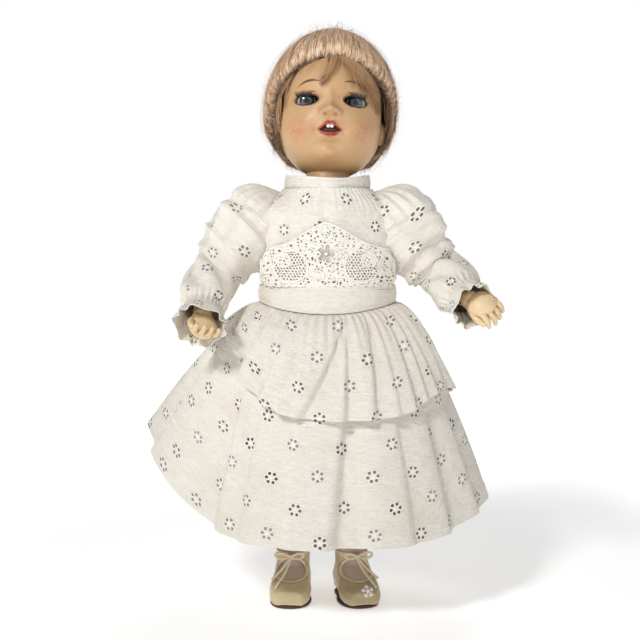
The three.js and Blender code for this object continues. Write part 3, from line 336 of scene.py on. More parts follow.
def lay_floor():
    bpy.ops.mesh.primitive_plane_add(size=FLOOR_SIZE, location=(0, 0, FLOOR_LEVEL))
    floor = named("studio_floor")
    settle(floor)
    material, w, shader = new_material("pale floor", roughness=0.9)
    x, y, _ = w.split(w.place())
    w.feed(shader["Base Color"], FLOOR_TONE)
    w.feed(shader["Emission Strength"], 1.0)
    w.feed(shader["Emission Color"], w.mix(w.ramp(w.length(x, y), *GLOW_REACH), FLOOR_GLOW, WHITE))
    floor.data.materials.append(material)


# Materials


def sign(operation):
    """A Python operator that adds a math node: for a wire on its left, and for one on its right."""
    return (
        lambda wire, other: wire.weaver.math(operation, wire, other),
        lambda wire, other: wire.weaver.math(operation, other, wire),
    )


class Wire:
    """A node's output, which a formula can use as a number."""

    def __init__(self, weaver, socket):
        self.weaver = weaver
        self.socket = socket

    __add__, __radd__ = sign("ADD")
    __sub__, __rsub__ = sign("SUBTRACT")
    __mul__, __rmul__ = sign("MULTIPLY")
    __truediv__, __rtruediv__ = sign("DIVIDE")
    __mod__, __rmod__ = sign("MODULO")
    __pow__, __rpow__ = sign("POWER")

    def __abs__(self):
        return self.weaver.math("ABSOLUTE", self)


class Weaver:
    """Adds nodes to a tree and links them, so that a formula reads as a line."""

    def __init__(self, tree):
        self.tree = tree

    def add(self, kind, *values, **settings):
        """Adds a node, sets it and feeds its first inputs."""
        node = self.tree.nodes.new(kind)
        for key, value in settings.items():
            setattr(node, key, value)
        for socket, value in zip(node.inputs, values):
            self.feed(socket, value)
        return node

    def wire(self, kind, *values, output=0, **settings):
        """Adds a node and gives one output of it."""
        return Wire(self, self.add(kind, *values, **settings).outputs[output])

    def feed(self, socket, value):
        if isinstance(value, Wire):
            self.tree.links.new(value.socket, socket)
        else:
            socket.default_value = value

    def math(self, operation, *values):
        return self.wire("ShaderNodeMath", *values, operation=operation)

    def length(self, first, second):
        return self.math("SQRT", first**2.0 + second**2.0)

    def ramp(self, value, low, high, start=0.0, end=1.0):
        return self.wire("ShaderNodeMapRange", value, low, high, start, end, interpolation_type="SMOOTHSTEP")

    def mix(self, share, first, second):
        node = self.add("ShaderNodeMix", share, data_type="RGBA")
        self.feed(node.inputs[6], first)
        self.feed(node.inputs[7], second)
        return Wire(self, node.outputs[2])

    def noise(self, vector, scale, detail=3.0, roughness=0.5):
        node = self.add("ShaderNodeTexNoise", vector)
        self.feed(node.inputs["Scale"], scale)
        self.feed(node.inputs["Detail"], detail)
        self.feed(node.inputs["Roughness"], roughness)
        return Wire(self, node.outputs[0])

    def grain(self, vector, x, y, detail=2.0, roughness=0.5):
        """Noise drawn out along one way of a map."""
        stretched = self.wire("ShaderNodeVectorMath", vector, (x, y, 1), operation="MULTIPLY")
        return self.noise(stretched, 1.0, detail, roughness)

    def cells(self, vector, scale):
        """How far it is to the edge of an uneven cell."""
        node = self.add("ShaderNodeTexVoronoi", vector, feature="DISTANCE_TO_EDGE")
        self.feed(node.inputs["Scale"], scale)
        return Wire(self, node.outputs["Distance"])

    def split(self, vector):
        return [Wire(self, socket) for socket in self.add("ShaderNodeSeparateXYZ", vector).outputs]

    def cut_map(self):
        return self.wire("ShaderNodeUVMap", uv_map="cut")

    def place(self):
        return self.wire("ShaderNodeTexCoord", output="Object")

    def value_of(self, name):
        return self.wire("ShaderNodeAttribute", output="Fac", attribute_name=name)

    def bump(self, height, distance, strength, after=None):
        node = self.add("ShaderNodeBump")
        self.feed(node.inputs["Height"], height)
        self.feed(node.inputs["Distance"], distance)
        self.feed(node.inputs["Strength"], strength)
        if after is not None:
            self.feed(node.inputs["Normal"], after)
        return Wire(self, node.outputs[0])

    def aged(self, place, colour, tint, amount):
        """A colour with the uneven tint of age."""
        return self.use(AGE, Place=place, Colour=rgb(*colour), Tint=rgb(*tint), Amount=amount)["Colour"]

    def use(self, group, **values):
        node = self.add("ShaderNodeGroup", node_tree=group)
        for key, value in values.items():
            self.feed(node.inputs[key], value)
        return {socket.name: Wire(self, socket) for socket in node.outputs}


def new_group(name, takes, gives):
    """An empty node group with named sockets: (name, kind, default) taken and (name, kind) given."""
    group = bpy.data.node_groups.new(name, "ShaderNodeTree")
    for socket, kind, default in takes:
        made = group.interface.new_socket(socket, in_out="INPUT", socket_type=kind)
        if default is not None:
            made.default_value = default
    for socket, kind in gives:
        group.interface.new_socket(socket, in_out="OUTPUT", socket_type=kind)
    w = Weaver(group)
    taken = {socket.name: Wire(w, socket) for socket in w.add("NodeGroupInput").outputs}
    return group, w, taken, w.add("NodeGroupOutput").inputs


FLOAT = "NodeSocketFloat"
VECTOR = "NodeSocketVector"
COLOUR = "NodeSocketColor"


def make_weave():
    """Cotton threads both ways, a little slubby across."""
    group, w, taken, given = new_group(
        "cotton weave", [("Cut", VECTOR, None)], [("Height", FLOAT), ("Shade", FLOAT)]
    )
    across = w.grain(taken["Cut"], 260, 2600)
    down = w.grain(taken["Cut"], 2600, 260)
    slub = w.grain(taken["Cut"], 45, 900)
    threads = across * 0.5 + down * 0.5
    height = threads + w.ramp(slub, 0.52, 0.75) * 0.7
    w.feed(given["Height"], height)
    streak = w.grain(taken["Cut"], 130, 1500, 3.0)
    grain = w.grain(taken["Cut"], 820, 1100)
    shade = w.ramp(streak, 0.44, 0.7) + w.ramp(grain, 0.4, 0.66) * 0.8
    w.feed(given["Shade"], shade)
    return group


def make_eyelets():
    """Staggered flowers, each of six round holes bound with thread about a stitched middle."""
    group, w, taken, given = new_group(
        "eyelet flowers",
        [("Cut", VECTOR, None), ("Spacing", FLOAT, 0.026), ("Size", FLOAT, 0.0033)],
        [("Hole", FLOAT), ("Stitch", FLOAT), ("Depth", FLOAT)],
    )
    u, v, _ = w.split(taken["Cut"])
    rows = v / (taken["Spacing"] * 0.62)
    row = w.math("FLOOR", rows)
    columns = u / taken["Spacing"] + row % 2.0 * 0.5
    x = (w.math("FRACT", columns) - 0.5) * taken["Spacing"]
    y = w.math("FRACT", rows) - 0.5
    y = y * (taken["Spacing"] * 0.62)
    column = w.math("FLOOR", columns)
    seed = column * 12.99 + row * 78.23
    luck = w.math("FRACT", w.math("SINE", seed) * 437.5)
    other = w.math("FRACT", luck * 91.7)
    x = x - (luck - 0.5) * 0.009
    y = y - (other - 0.5) * 0.006
    turn = (column + row * 3.0) * 0.7
    away = w.length(x, y)
    bearing = w.math("ARCTAN2", y, x) + turn
    sixth = math.pi / 3
    within = w.math("FRACT", bearing / sixth) - 0.5
    within = within * sixth
    ahead = away * w.math("COSINE", within) - taken["Size"]
    aside = away * w.math("SINE", within)
    near = w.length(ahead, aside)
    share = near / taken["Size"]
    hole = w.ramp(share, 0.27, 0.37, 1.0, 0.0)
    ring = w.ramp(abs(share - 0.46), 0.08, 0.18, 1.0, 0.0)
    middle = w.ramp(away / taken["Size"], 0.3, 0.5, 1.0, 0.0)
    w.feed(given["Hole"], hole)
    # Depth: how dark each flower's holes are painted as painted shade, more in some flowers than others.
    w.feed(given["Depth"], other ** 1.3 * 0.45 + 0.55)
    w.feed(given["Stitch"], w.math("MAXIMUM", ring, middle))
    return group


def make_wear():
    """Uneven tint of old cloth and paint: broad yellowing and small specks."""
    group, w, taken, given = new_group(
        "age",
        [("Place", VECTOR, None), ("Colour", COLOUR, WHITE), ("Tint", COLOUR, WHITE), ("Amount", FLOAT, 0.25)],
        [("Colour", COLOUR)],
    )
    broad = w.ramp(w.noise(taken["Place"], 22.0, 4.0), 0.42, 0.75)
    specks = w.ramp(w.noise(taken["Place"], 420.0, 2.0), 0.66, 0.74)
    mask = w.math("MAXIMUM", broad, specks * 0.6) * taken["Amount"]
    w.feed(given["Colour"], w.mix(mask, taken["Colour"], taken["Tint"]))
    return group


def make_strands():
    """Streaks that run along a lock of hair, read from its own cut map."""
    group, w, taken, given = new_group(
        "hair streaks", [("Cut", VECTOR, None)], [("Shade", FLOAT), ("Height", FLOAT)]
    )
    fine = w.grain(taken["Cut"], 2200, 14)
    broad = w.grain(taken["Cut"], 330, 8)
    w.feed(given["Shade"], fine * 0.5 + broad * 0.5)
    w.feed(given["Height"], fine)
    return group


def make_knit():
    """Fine ribs with small stitches down each one."""
    group, w, taken, given = new_group("knit ribs", [("Cut", VECTOR, None)], [("Height", FLOAT), ("Gap", FLOAT)])
    u, v, _ = w.split(taken["Cut"])
    rib = abs(w.math("SINE", u * 3300.0))
    stitch = abs(w.math("SINE", v * 3000.0 + rib * 1.2))
    height = rib * (0.6 + stitch * 0.4)
    w.feed(given["Height"], height)
    w.feed(given["Gap"], w.ramp(height, 0.05, 0.45, 1.0, 0.0))
    return group


WEAVE = make_weave()
EYELETS = make_eyelets()
AGE = make_wear()
STREAKS = make_strands()
KNIT = make_knit()


def new_material(name, roughness=0.6, metallic=0.0, coat=0.0):
    material = bpy.data.materials.new(name)
    material.use_nodes = True
    shader = material.node_tree.nodes["Principled BSDF"]
    shader.inputs["Roughness"].default_value = roughness
    shader.inputs["Metallic"].default_value = metallic
    shader.inputs["Coat Weight"].default_value = coat
    return material, Weaver(material.node_tree), shader.inputs


COTTON_WHITE = (238, 233, 223)
COTTON_YELLOW = (198, 178, 142)
FLOWER_SPACING = 0.039
FLOWER_SIZE = 0.0038


def cotton(name, flowers=True):
    material, w, shader = new_material(name, roughness=0.85)
    cut = w.cut_map()
    weave = w.use(WEAVE, Cut=cut)
    aged = w.aged(w.place(), COTTON_WHITE, COTTON_YELLOW, 0.16)
    tone = w.mix(weave["Shade"] * 0.22, aged, rgb(178, 166, 146))
    height = weave["Height"] * 0.5
    if flowers:
        eyelets = w.use(EYELETS, Cut=cut, Spacing=FLOWER_SPACING, Size=FLOWER_SIZE)
        tone = w.mix(eyelets["Stitch"] * 0.85, tone, rgb(250, 247, 240))
        # Painted shade: the holes are painted dark brown, for the dim inside of the frock seen through them.
        tone = w.mix(eyelets["Hole"] * eyelets["Depth"], tone, rgb(92, 70, 46))
        height = height + eyelets["Stitch"] * 0.8
        height = height - eyelets["Hole"]
    w.feed(shader["Base Color"], tone)
    crumple = w.grain(cut, 62, 96, 4.0, 0.55)
    w.feed(shader["Normal"], w.bump(height, 0.0006, 0.9, after=w.bump(crumple, 0.005, 0.6)))
    w.feed(shader["Sheen Weight"], 0.1)
    return material


def plain(name, colour, roughness=0.6, metallic=0.0, grain=60.0, depth=0.0002, tint=None, amount=0.3, coat=0.0):
    """A material of one colour with uneven age and a fine grain."""
    material, w, shader = new_material(name, roughness, metallic, coat)
    place = w.place()
    dark = tint or tuple(0.7 * c for c in colour)
    aged = w.aged(place, colour, dark, amount)
    w.feed(shader["Base Color"], aged)
    w.feed(shader["Normal"], w.bump(w.noise(place, grain * 20, 3.0), depth, 0.4))
    return material


COTTON = cotton("white eyelet cotton")
PLAIN_COTTON = cotton("white plain cotton", flowers=False)


# Frock


def area_of(piece):
    return sum(face.area for face in piece.data.polygons)


def flat_size(area, drop):
    """How wide and how long a cloth is when it is laid flat."""
    return round(area / drop, 3), round(drop, 4)


def cloth(name, columns, rows, hang, closed=False, thickness=CLOTH):
    """Cuts a flat piece of cloth and hangs it: hang takes the shares across and down and gives each point's
    place and its own place on the flat cut, in metres. The piece comes with the area of its cloth."""
    bpy.ops.mesh.primitive_grid_add(x_subdivisions=columns, y_subdivisions=rows, size=1, location=(0, 0, 0))
    piece = named(name)
    flat = places(piece)
    points, cut = hang(flat[:, 0] + 0.5, 0.5 - flat[:, 1])
    move_to(piece, np.stack(points, 1))
    map_cut(piece, np.stack(cut, 1))
    with editing(piece):
        if closed:
            bpy.ops.mesh.remove_doubles(threshold=SEAM)
        bpy.ops.mesh.normals_make_consistent(inside=False)
    area = area_of(piece)
    if thickness:
        thicken(piece, thickness)
    return piece, area


def bell(angle, bearing, spread):
    return hump(turn_from(angle, bearing), 0, spread)


def pleats(angle, count, wander, turns):
    """Fine gathers round a seam: so many to a turn, and so many places where they crowd by a wander."""
    return np.cos(count * angle + wander * np.sin(turns * angle))


def waist_dip(angle):
    """How far the waist seam stands above its mean level: up at the sides, down in front."""
    return 0.0042 * np.cos(angle) ** 2 - 0.0048 * np.clip(-np.sin(angle), 0, 1) ** 2


def creases(angle, share, folds):
    """Valleys that start sharp at the gathers and open out, steep on the side towards the front. Each is a
    bearing from the front in degrees towards the doll's left, a depth in millimetres, a half width and a drift."""
    total = np.zeros_like(angle)
    for bearing, deep, wide, drift in folds:
        centre = math.radians(bearing - 90) + math.radians(drift) * share
        apart = turn_from(angle, centre)
        frontward = apart * (1 if 0 < bearing < 180 else -1) < 0
        spread = math.radians(wide) * (0.22 + 0.78 * share) * np.where(frontward, 0.34, 1.2)
        total -= 1.55 * deep * MM * hump(apart, 0, spread) * share**0.45
    return total


SKIRT_FOLDS = [
    (13, 6.4, 11, -8), (-16, 2.5, 8, -3), (-34, 3.0, 9, -4), (-50, 6.4, 13, -3), (-84, 5.0, 9, -8),
    (-104, 6.0, 8, -4), (34, 2.6, 9, 2), (52, 4.2, 10, 4), (70, 3.5, 9, 5), (90, 5.0, 10, 5), (112, 4.5, 9, 4),
    (136, 5.0, 10, 2), (158, 4.0, 9, 0), (182, 5.0, 10, 0), (206, 4.5, 9, -2), (228, 5.0, 9, -3),
]
OVERSKIRT_FOLDS = [
    (12, 5.2, 9, -22), (-9, 2.2, 5, -16), (-24, 2.8, 6, -12), (-44, 4.0, 8, -8), (-70, 3.4, 6, -8),
    (-98, 4.0, 8, -8), (27, 4.2, 8, -4), (43, 3.8, 7, 2), (58, 3.6, 7, 5), (78, 4.6, 8, 8), (104, 5.2, 9, 6),
    (128, 4.0, 9, 3), (150, 4.4, 8, 0), (172, 4.0, 8, 0), (196, 4.6, 9, 0), (220, 4.2, 8, -3), (242, 4.0, 8, -5),
]


def skirt_line(angle, share, out):
    """Where the gathered skirt hangs at a bearing and a share of its length."""
    wing = bell(angle, WING_BEARING, WING_SPREAD)
    flare = bell(angle, 0, WING_SPREAD)
    reach_y = np.where(np.sin(angle) < 0, SKIRT_FRONT_REACH, SKIRT_BACK_REACH)
    swell = share**0.6
    extra = (WING_REACH * wing + FLARE_REACH * flare) * share
    drift = 0.0016 * share * ripple(6 * np.cos(angle), 6 * np.sin(angle) + 4 * share, 11)
    grown = extra + HEM_EASE * share + creases(angle, share, SKIRT_FOLDS) + drift + out
    x = WAIST_HALF_WIDTH - WAIST_TUCK + (SKIRT_SIDE_REACH - WAIST_HALF_WIDTH + WAIST_TUCK) * swell + grown
    y = WAIST_HALF_DEPTH - WAIST_TUCK + (reach_y - WAIST_HALF_DEPTH + WAIST_TUCK) * swell + grown
    lifted = bell(angle, WING_BEARING, 1.28 * WING_SPREAD)
    drop = share * (SKIRT_LENGTH - WING_LIFT * lifted - FLARE_LIFT * flare)
    z = SKIRT_TOP - SKIRT_GAP - drop + waist_dip(angle) * (1 - share) ** 3
    return BODY_X + x * np.cos(angle), BODY_Y + y * np.sin(angle), z


SWING_TOP = 0.245
SWING_LOW = 0.19


def gather_weights(piece, side):
    """Works out how low each point hangs below the swing's top and how far it lies off the middle; neither share
    is kept.
    """
    points = places(piece)
    low = soft_step(SWING_TOP - points[:, 2], 0.0, SWING_TOP - SWING_LOW)
    aside = soft_step(side * (points[:, 0] - BODY_X), 0.001, 0.016)


def sew_skirt(name, side, place, top_level):
    def hang(across, down):
        angle = -math.pi / 2 + side * math.pi * across
        round_here = math.pi * (0.0545 + 0.0615 * np.sqrt(down * top_level))
        return place(angle, down), (side * round_here * across + 0.007, SKIRT_LENGTH * down * top_level)

    side_name = "right" if side < 0 else "left"
    piece, area = cloth(f"{name}_{side_name}", 220, 72, hang)
    dress(piece, COTTON, angle=55)
    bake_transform(piece)
    gather_weights(piece, side)
    return piece, area


def sew_skirts():
    def long_fall(angle, down):
        gathers = 0.0009 * pleats(angle, 58, 2, 4) * np.exp(-down / 0.08)
        turned_up = 0.0006 * soft_step(down, 0.925, 0.93)
        return skirt_line(angle, down, gathers + turned_up)

    def short_fall(angle, down):
        raised = 0.60 * bell(angle, math.radians(-162), 0.58) + 0.15 * bell(angle, math.radians(-26), 0.42)
        fall = OVERSKIRT_SHARE * (1 - raised)
        fine = 0.0016 * pleats(angle, 64, 3, 5) * np.exp(-down / 0.22)
        loose = 0.0070 * down**0.45 + creases(angle, down, OVERSKIRT_FOLDS)
        wave = 0.0012 * down * ripple(9 * np.cos(angle), 9 * np.sin(angle) + 2 * down, 23)
        return skirt_line(angle, down * fall, OVERSKIRT_EASE + fine + np.maximum(loose, 0.0) + wave)

    skirts = [
        ("skirt", long_fall, 1.0, SKIRT_LENGTH),
        ("overskirt", short_fall, OVERSKIRT_CUT, OVERSKIRT_LENGTH),
    ]
    for name, fall, share, drop in skirts:
        for side in (-1, 1):
            piece, area = sew_skirt(name, side, fall, share)
            flat_size(area, drop)
            if side < 0:
                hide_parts(name)


TORSO_LEVELS = np.array([0.186, 0.196, 0.214, 0.234, 0.264, 0.292, 0.320, 0.340, 0.351, 0.360])
TORSO_HALF_WIDTHS = np.array([31.8, 46.6, 53.0, 50.9, 45.0, 48.0, 49.0, 47.0, 39.2, 27.0]) * MM
TORSO_HALF_DEPTHS = np.array([27.2, 36.8, 40.0, 39.2, 36.0, 36.7, 36.0, 31.7, 28.1, 27.0]) * MM
BODICE_HEM = 0.2768
BODICE_TOP = 0.3612
BODICE_DROP = 0.0844
BODICE_EASE = 0.0116
BODICE_LAP = 0.06  # in radians, each way at the back
PUFF_UP = 0.288
SQUARENESS = 2.3  # of the bodice's plan: an oval is 2
ARMHOLE_ASIDE = 0.059
ARMHOLE_UP = 0.327
ARMHOLE_HALF = (0.024, 0.0215, 0.022)


def torso_section(z):
    """Half width and half depth of the torso at a height, smoothed between its stations."""
    return [eased(z, 0.003, TORSO_LEVELS, halves) for halves in (TORSO_HALF_WIDTHS, TORSO_HALF_DEPTHS)]


def on_bodice(angle, z, out):
    """A point of the bodice's outside, by bearing and height."""
    half_width, half_depth = torso_section(z)
    c, s = np.cos(angle), np.sin(angle)
    x = (half_width + out) * np.sign(c) * np.abs(c) ** (2 / SQUARENESS)
    y = (half_depth + out) * np.sign(s) * np.abs(s) ** (2 / SQUARENESS)
    return BODY_X + x, BODY_Y + y, z


def sew_bodice():
    def hang(across, down):
        angle = math.pi / 2 - BODICE_LAP + 2 * (math.pi + BODICE_LAP) * across
        lapped = 0.0014 * soft_step(across, 0.972, 0.988)
        z = BODICE_TOP + (BODICE_HEM - BODICE_TOP) * down
        puff = 0.0012 * hump(z, PUFF_UP, 0.009) - 0.0022 * soft_step(down, 0.90, 1.0)
        gathers = 0.0007 * pleats(angle, 46, 2, 7) * np.exp(-(1 - down) / 0.16)
        drift = 0.0012 * ripple(5 * angle + 22 * z, 75 * z, 5) * soft_step(down, 0.02, 0.2)
        yoke = 0.0005 * pleats(angle, 62, 2, 5) * hump(down, 0.1, 0.12)
        placket = -0.0013 * hump(angle, 1.5 * math.pi - 0.03, 0.035) * soft_step(0.42 - down, 0.0, 0.1)
        points = on_bodice(angle, z, BODICE_EASE + puff + gathers + drift + lapped + yoke + placket)
        return points, (0.058 * angle, z)

    piece, _ = cloth("bodice_cloth", 240, 70, hang, thickness=0)
    centres = np.array([face.center for face in piece.data.polygons])
    holed = np.zeros(len(centres), bool)
    for side in (-1, 1):
        hole = np.array([BODY_X + side * ARMHOLE_ASIDE, BODY_Y, ARMHOLE_UP])
        holed |= (((centres - hole) / ARMHOLE_HALF) ** 2).sum(1) < 1
    cut_away(piece, "FACE", "polygons", holed)
    area = area_of(piece)
    thicken(piece, CLOTH)
    dress(piece, COTTON, "torso", "bodice")
    flat = flat_size(area, BODICE_DROP)


def sew_band(name, node, material, half_width, half_depth, low, high, lean, flowers_at, uneven, sags):
    """A band round the body, leaning in at its top: flowers_at shifts its print, and sags are the shares of the
    waist's dip at its top and its foot."""

    def hang(across, down):
        angle = math.pi / 2 + 2 * math.pi * across
        z = high + (low - high) * down + (sags[0] + (sags[1] - sags[0]) * down) * waist_dip(angle)
        drift = 0.0008 * ripple(4 * angle, 160 * z, 3) + 0.00012 * pleats(angle, 41, 3, 5)
        edge = 0.0006 * np.cos(math.pi * (down - 0.5))
        for seam in (0.14, 0.86):
            edge = edge - 0.0005 * hump(down, seam, 0.035)
        r = -lean * (1 - down) + drift + edge
        x, y = (half_width + r) * np.cos(angle), (half_depth + r) * np.sin(angle)
        top = z + uneven * (1 - down) * ripple(4 * angle, 0 * z, 8)
        return (BODY_X + x, BODY_Y + y, top), (half_width * angle, z + flowers_at)

    piece, area = cloth(name, 200, 44, hang, closed=True, thickness=0.0011)
    dress(piece, material, "torso", node)
    flat_size(area, high - low)


COLLAR_RADIUS = 0.0374


def sew_waistband():
    sew_band(
        "waistband_cloth", "waistband", PLAIN_COTTON, WAIST_HALF_WIDTH, WAIST_HALF_DEPTH,
        low=0.2597, high=0.2782, lean=0.0004, flowers_at=0, uneven=0.0004, sags=(0.0, 1.0),
    )


def sew_collar():
    sew_band(
        "collar_cloth", "stand_collar", COTTON, COLLAR_RADIUS, COLLAR_RADIUS,
        low=0.3582, high=0.3719, lean=0.0011, flowers_at=0.0200, uneven=0.0008, sags=(0.4, 0.4),
    )


# Sleeves


def both(right, left):
    """Unit ways of the right and of the left."""
    return {"right": Vector(right).normalized(), "left": Vector(left).normalized()}


SHOULDER_ASIDE = 0.057
SHOULDER_UP = 0.336
SHOULDERS = {name: Vector((BODY_X + side * SHOULDER_ASIDE, BODY_Y, SHOULDER_UP)) for name, side in SIDES.items()}
UPPER_ARMS = both((-0.66, -0.06, -0.74), (0.64, -0.06, -0.74))
FOREARMS = both((-0.08, -0.8, -0.58), (0.3, -0.88, -0.34))
HANDS = both((0.08, -0.72, -0.68), (0.68, -0.66, -0.27))
PALMS = {"right": Vector((0.4, -0.8, 0.4)), "left": Vector((-0.3, 0.9, -0.3))}
UPPER_ARM_LENGTH = 0.066
FOREARM_LENGTH = 0.052
UPPER_SLEEVE_DROP = 0.09
LOWER_SLEEVE_DROP = 0.084
ELBOW_SHARE = 0.36  # of the lower sleeve, before it runs straight
CUFF_SHARE = 0.735
ELBOWS = {name: SHOULDERS[name] + UPPER_ARM_LENGTH * UPPER_ARMS[name] for name in SIDES}
WRISTS = {name: ELBOWS[name] + FOREARM_LENGTH * FOREARMS[name] for name in SIDES}


def frame_along(along, aside):
    """Axes with Z along one way and X as near as can be to another."""
    z = along.normalized()
    x = (aside - aside.dot(z) * z).normalized()
    return np.array([x, z.cross(x), z])


def bend_axis(name):
    return UPPER_ARMS[name].cross(FOREARMS[name]).normalized()


def sew_upper_sleeve(name, side):
    axes = frame_along(UPPER_ARMS[name], bend_axis(name))
    stations = np.array([-28, -26, -20, -12, -4, 10, 28, 44, 58]) * MM
    radii = np.array([0.4, 11.0, 21.7, 29.0, 32.9, 34.6, 31.2, 25.4, 23.0]) * MM
    tucks = np.array([29, 45]) * MM
    # along and slant in millimetres, and a turn round the arm
    slumps = [(3, 7, 0.4), (16, -8, 2.3), (37, 5, 4.1)]

    def hang(across, down):
        angle = 2 * math.pi * across
        along = -0.028 + 0.0865 * down**1.15
        r = eased(along, 0.002, stations, radii)
        bunched = hump(along, -0.012, 0.018)
        gathers = 0.0017 * pleats(angle, 19, 2, 3) * bunched
        folds = 0.0024 * np.sin(math.pi * down) * np.cos(6 * angle + 50 * along + 1.2 * np.sin(2 * angle))
        drift = 0.0013 * ripple(3 * np.cos(angle) + 90 * along, 3 * np.sin(angle), 21 + side)
        tuck = 0
        for start in tucks:
            wander = start + 0.0016 * np.sin(2 * angle + 300 * start)
            rise = np.clip((along - wander) / 0.0078, 0, 1) * soft_step(wander + 0.0084 - along, 0, 0.0006)
            tuck = tuck + 0.0030 * rise
        for start, slant, turn in slumps:
            past = (along - (start + slant * np.sin(angle + turn)) * MM) / 0.0036
            fallen = 0.0020 * hump(past, 1.7, 1) - 0.0034 * hump(past, 0, 1)
            tuck = tuck + fallen * (0.55 + 0.45 * np.cos(angle - 2 * turn))
        r = r + (gathers + folds + drift) * soft_step(down, 0.02, 0.2) + tuck
        local = np.stack([r * np.cos(angle), r * np.sin(angle), along], 1) @ axes + np.array(SHOULDERS[name])
        return tuple(local.T), (0.024 * angle, along * 1.15)

    piece, area = cloth(f"upper_sleeve_cloth_{name}", 128, 96, hang, closed=True)
    dress(piece, COTTON, f"upper_arm_{name}", f"upper_sleeve_{name}")
    flat_size(area, UPPER_SLEEVE_DROP)


def sew_lower_sleeve(name, side):
    elbow, upper, fore = ELBOWS[name], UPPER_ARMS[name], FOREARMS[name]
    start = elbow - 0.016 * upper
    stations = np.array([0.0, 0.10, 0.28, 0.50, 0.66, CUFF_SHARE, 0.80, 1.0])
    rim = 22.0 if side < 0 else 19.4
    radii = np.array([19.2, 20.6, 21.8, 21.4, 19.4, 15.8, 16.6, rim]) * MM

    def hang(across, down):
        angle = 2 * math.pi * across
        t = np.clip(down / ELBOW_SHARE, 0, 1)[:, None]
        bend = arc(t, np.array(start), np.array(elbow), np.array(elbow + 0.018 * fore))
        straight = np.clip((down - ELBOW_SHARE) / (1 - ELBOW_SHARE), 0, 1)[:, None] * 0.0525 * np.array(fore)
        centre = bend + straight
        way = (1 - t) * np.array(upper) + t * np.array(fore)
        way = way / np.linalg.norm(way, axis=1)[:, None]
        aside = np.array(bend_axis(name))
        forward = np.cross(way, aside)
        r = eased(down, 0.02, stations, radii)
        ruffle = 0.0019 * soft_step(down, 0.78, 1.0) * pleats(angle, 9, 1.6, 3)
        gathers = 0.0011 * pleats(angle, 26, 2, 4) * hump(down, CUFF_SHARE, 0.08)
        middle = soft_step(down, 0, 0.1) * soft_step(0.74 - down, 0, 0.3)
        folds = 0.0022 * middle * np.cos(5 * angle + 9 * down)
        wave = ripple(3 * np.cos(angle) + 8 * down, 3 * np.sin(angle), 31 + side)
        drift = 0.0014 * soft_step(0.8 - down, 0, 0.2) * wave
        r = (r + ruffle + gathers + folds + drift)[:, None]
        points = centre + r * (np.cos(angle)[:, None] * aside + np.sin(angle)[:, None] * forward)
        return tuple(points.T), (0.021 * angle, 0.092 * down)

    piece, area = cloth(f"lower_sleeve_cloth_{name}", 128, 84, hang, closed=True)
    dress(piece, COTTON)
    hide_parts(f"lower_sleeve_{name}")
    elbow - 0.012 * upper
    elbow + 0.014 * fore
    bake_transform(piece)
    flat = flat_size(area, LOWER_SLEEVE_DROP)


# Head

EYES_UP = 0.066  # eye level above the neck pivot
NECK_UP = 0.364
HEAD_PIVOT = np.array([BODY_X, BODY_Y, NECK_UP])
HEAD_TURN = np.array(Matrix.Rotation(math.radians(-7), 3, "X") @ Matrix.Rotation(math.radians(2.5), 3, "Y"))
HEAD_HALF = np.array([0.044, 0.049, 0.058])
EYE_ASIDE = 0.0205
EYE_FORWARD = 0.0293
EYE_RADIUS = 0.0112
GAZE_DOWN = math.radians(9)  # the gaze meets the camera, a little below the head's own level
LID_EDGE = math.radians(33)
MOUTH_UP = -0.0265  # the corners of the mouth
MOUTH_HALF_WIDTH = 0.0092
MOUTH_ARCH = 0.0048
MOUTH_DIP = 0.0021
EYE_OPEN_HALF = 0.0094
EYE_OPEN_UP = 0.0045
EYE_OPEN_DOWN = 0.0047
EYE_OPEN_SHIFT = -0.0006
EAR_HALF = (0.0046, 0.0070, 0.0098)
EAR_ASIDE = 0.0446
EAR_DROP = 0.0182
JAW_FULLNESS = 2.5
CROWN_UP = 0.036  # where the shell is open under the wig
CROWN_LEAN = math.radians(-16)
SHELL_WALL = 0.0014
CUT_DEPTH = -0.030  # where the cutters of the eyes and the mouth end
NECK_RADIUS = 0.0199
TOOTH_HALF = np.array([0.00145, 0.0011, 0.0020])
MOUTH_HALF = np.array([0.0105, 0.006, 0.0062])
FACE = [
    # across on both sides, up, out, spread across and spread up, in millimetres from between the eyes
    (0, -9.8, 8.2, 5.0, 4.2),  # tip of the nose
    (0, -2.4, 2.8, 3.4, 6.5),  # bridge
    (6.4, -11.8, 3.6, 2.9, 2.7),  # nostril wings
    (4.3, -14.0, -1.2, 1.5, 1.2),  # nostrils
    (0, -17.6, -0.7, 1.5, 2.2),  # groove above the lip
    (0, -22.4, 2.8, 9.2, 3.0),  # upper lip
    (3.4, -20.8, 1.0, 1.9, 1.5),  # peaks of the lip
    (0, -32.0, 3.4, 7.0, 2.2),  # lower lip
    (12.0, -27.2, -1.6, 1.9, 2.2),  # corners of the mouth
    (0, -37.2, -2.4, 9, 2.9),  # hollow under the lip
    (0, -45.2, 5.4, 8, 5.6),  # chin
    (0, -43.6, -0.7, 2.0, 2.0),  # dimple
    (25, -23, 3.6, 12, 11),  # cheeks
    (20.5, 0, -3.0, 10, 7),  # eye hollows
    (0, 26, 2, 26, 16),  # forehead
]


def to_head(local):
    """Points measured from the neck pivot along the head's own axes, as points of the row frame."""
    return np.asarray(local) @ HEAD_TURN.T + HEAD_PIVOT


def from_head(points):
    return (np.asarray(points) - HEAD_PIVOT) @ HEAD_TURN


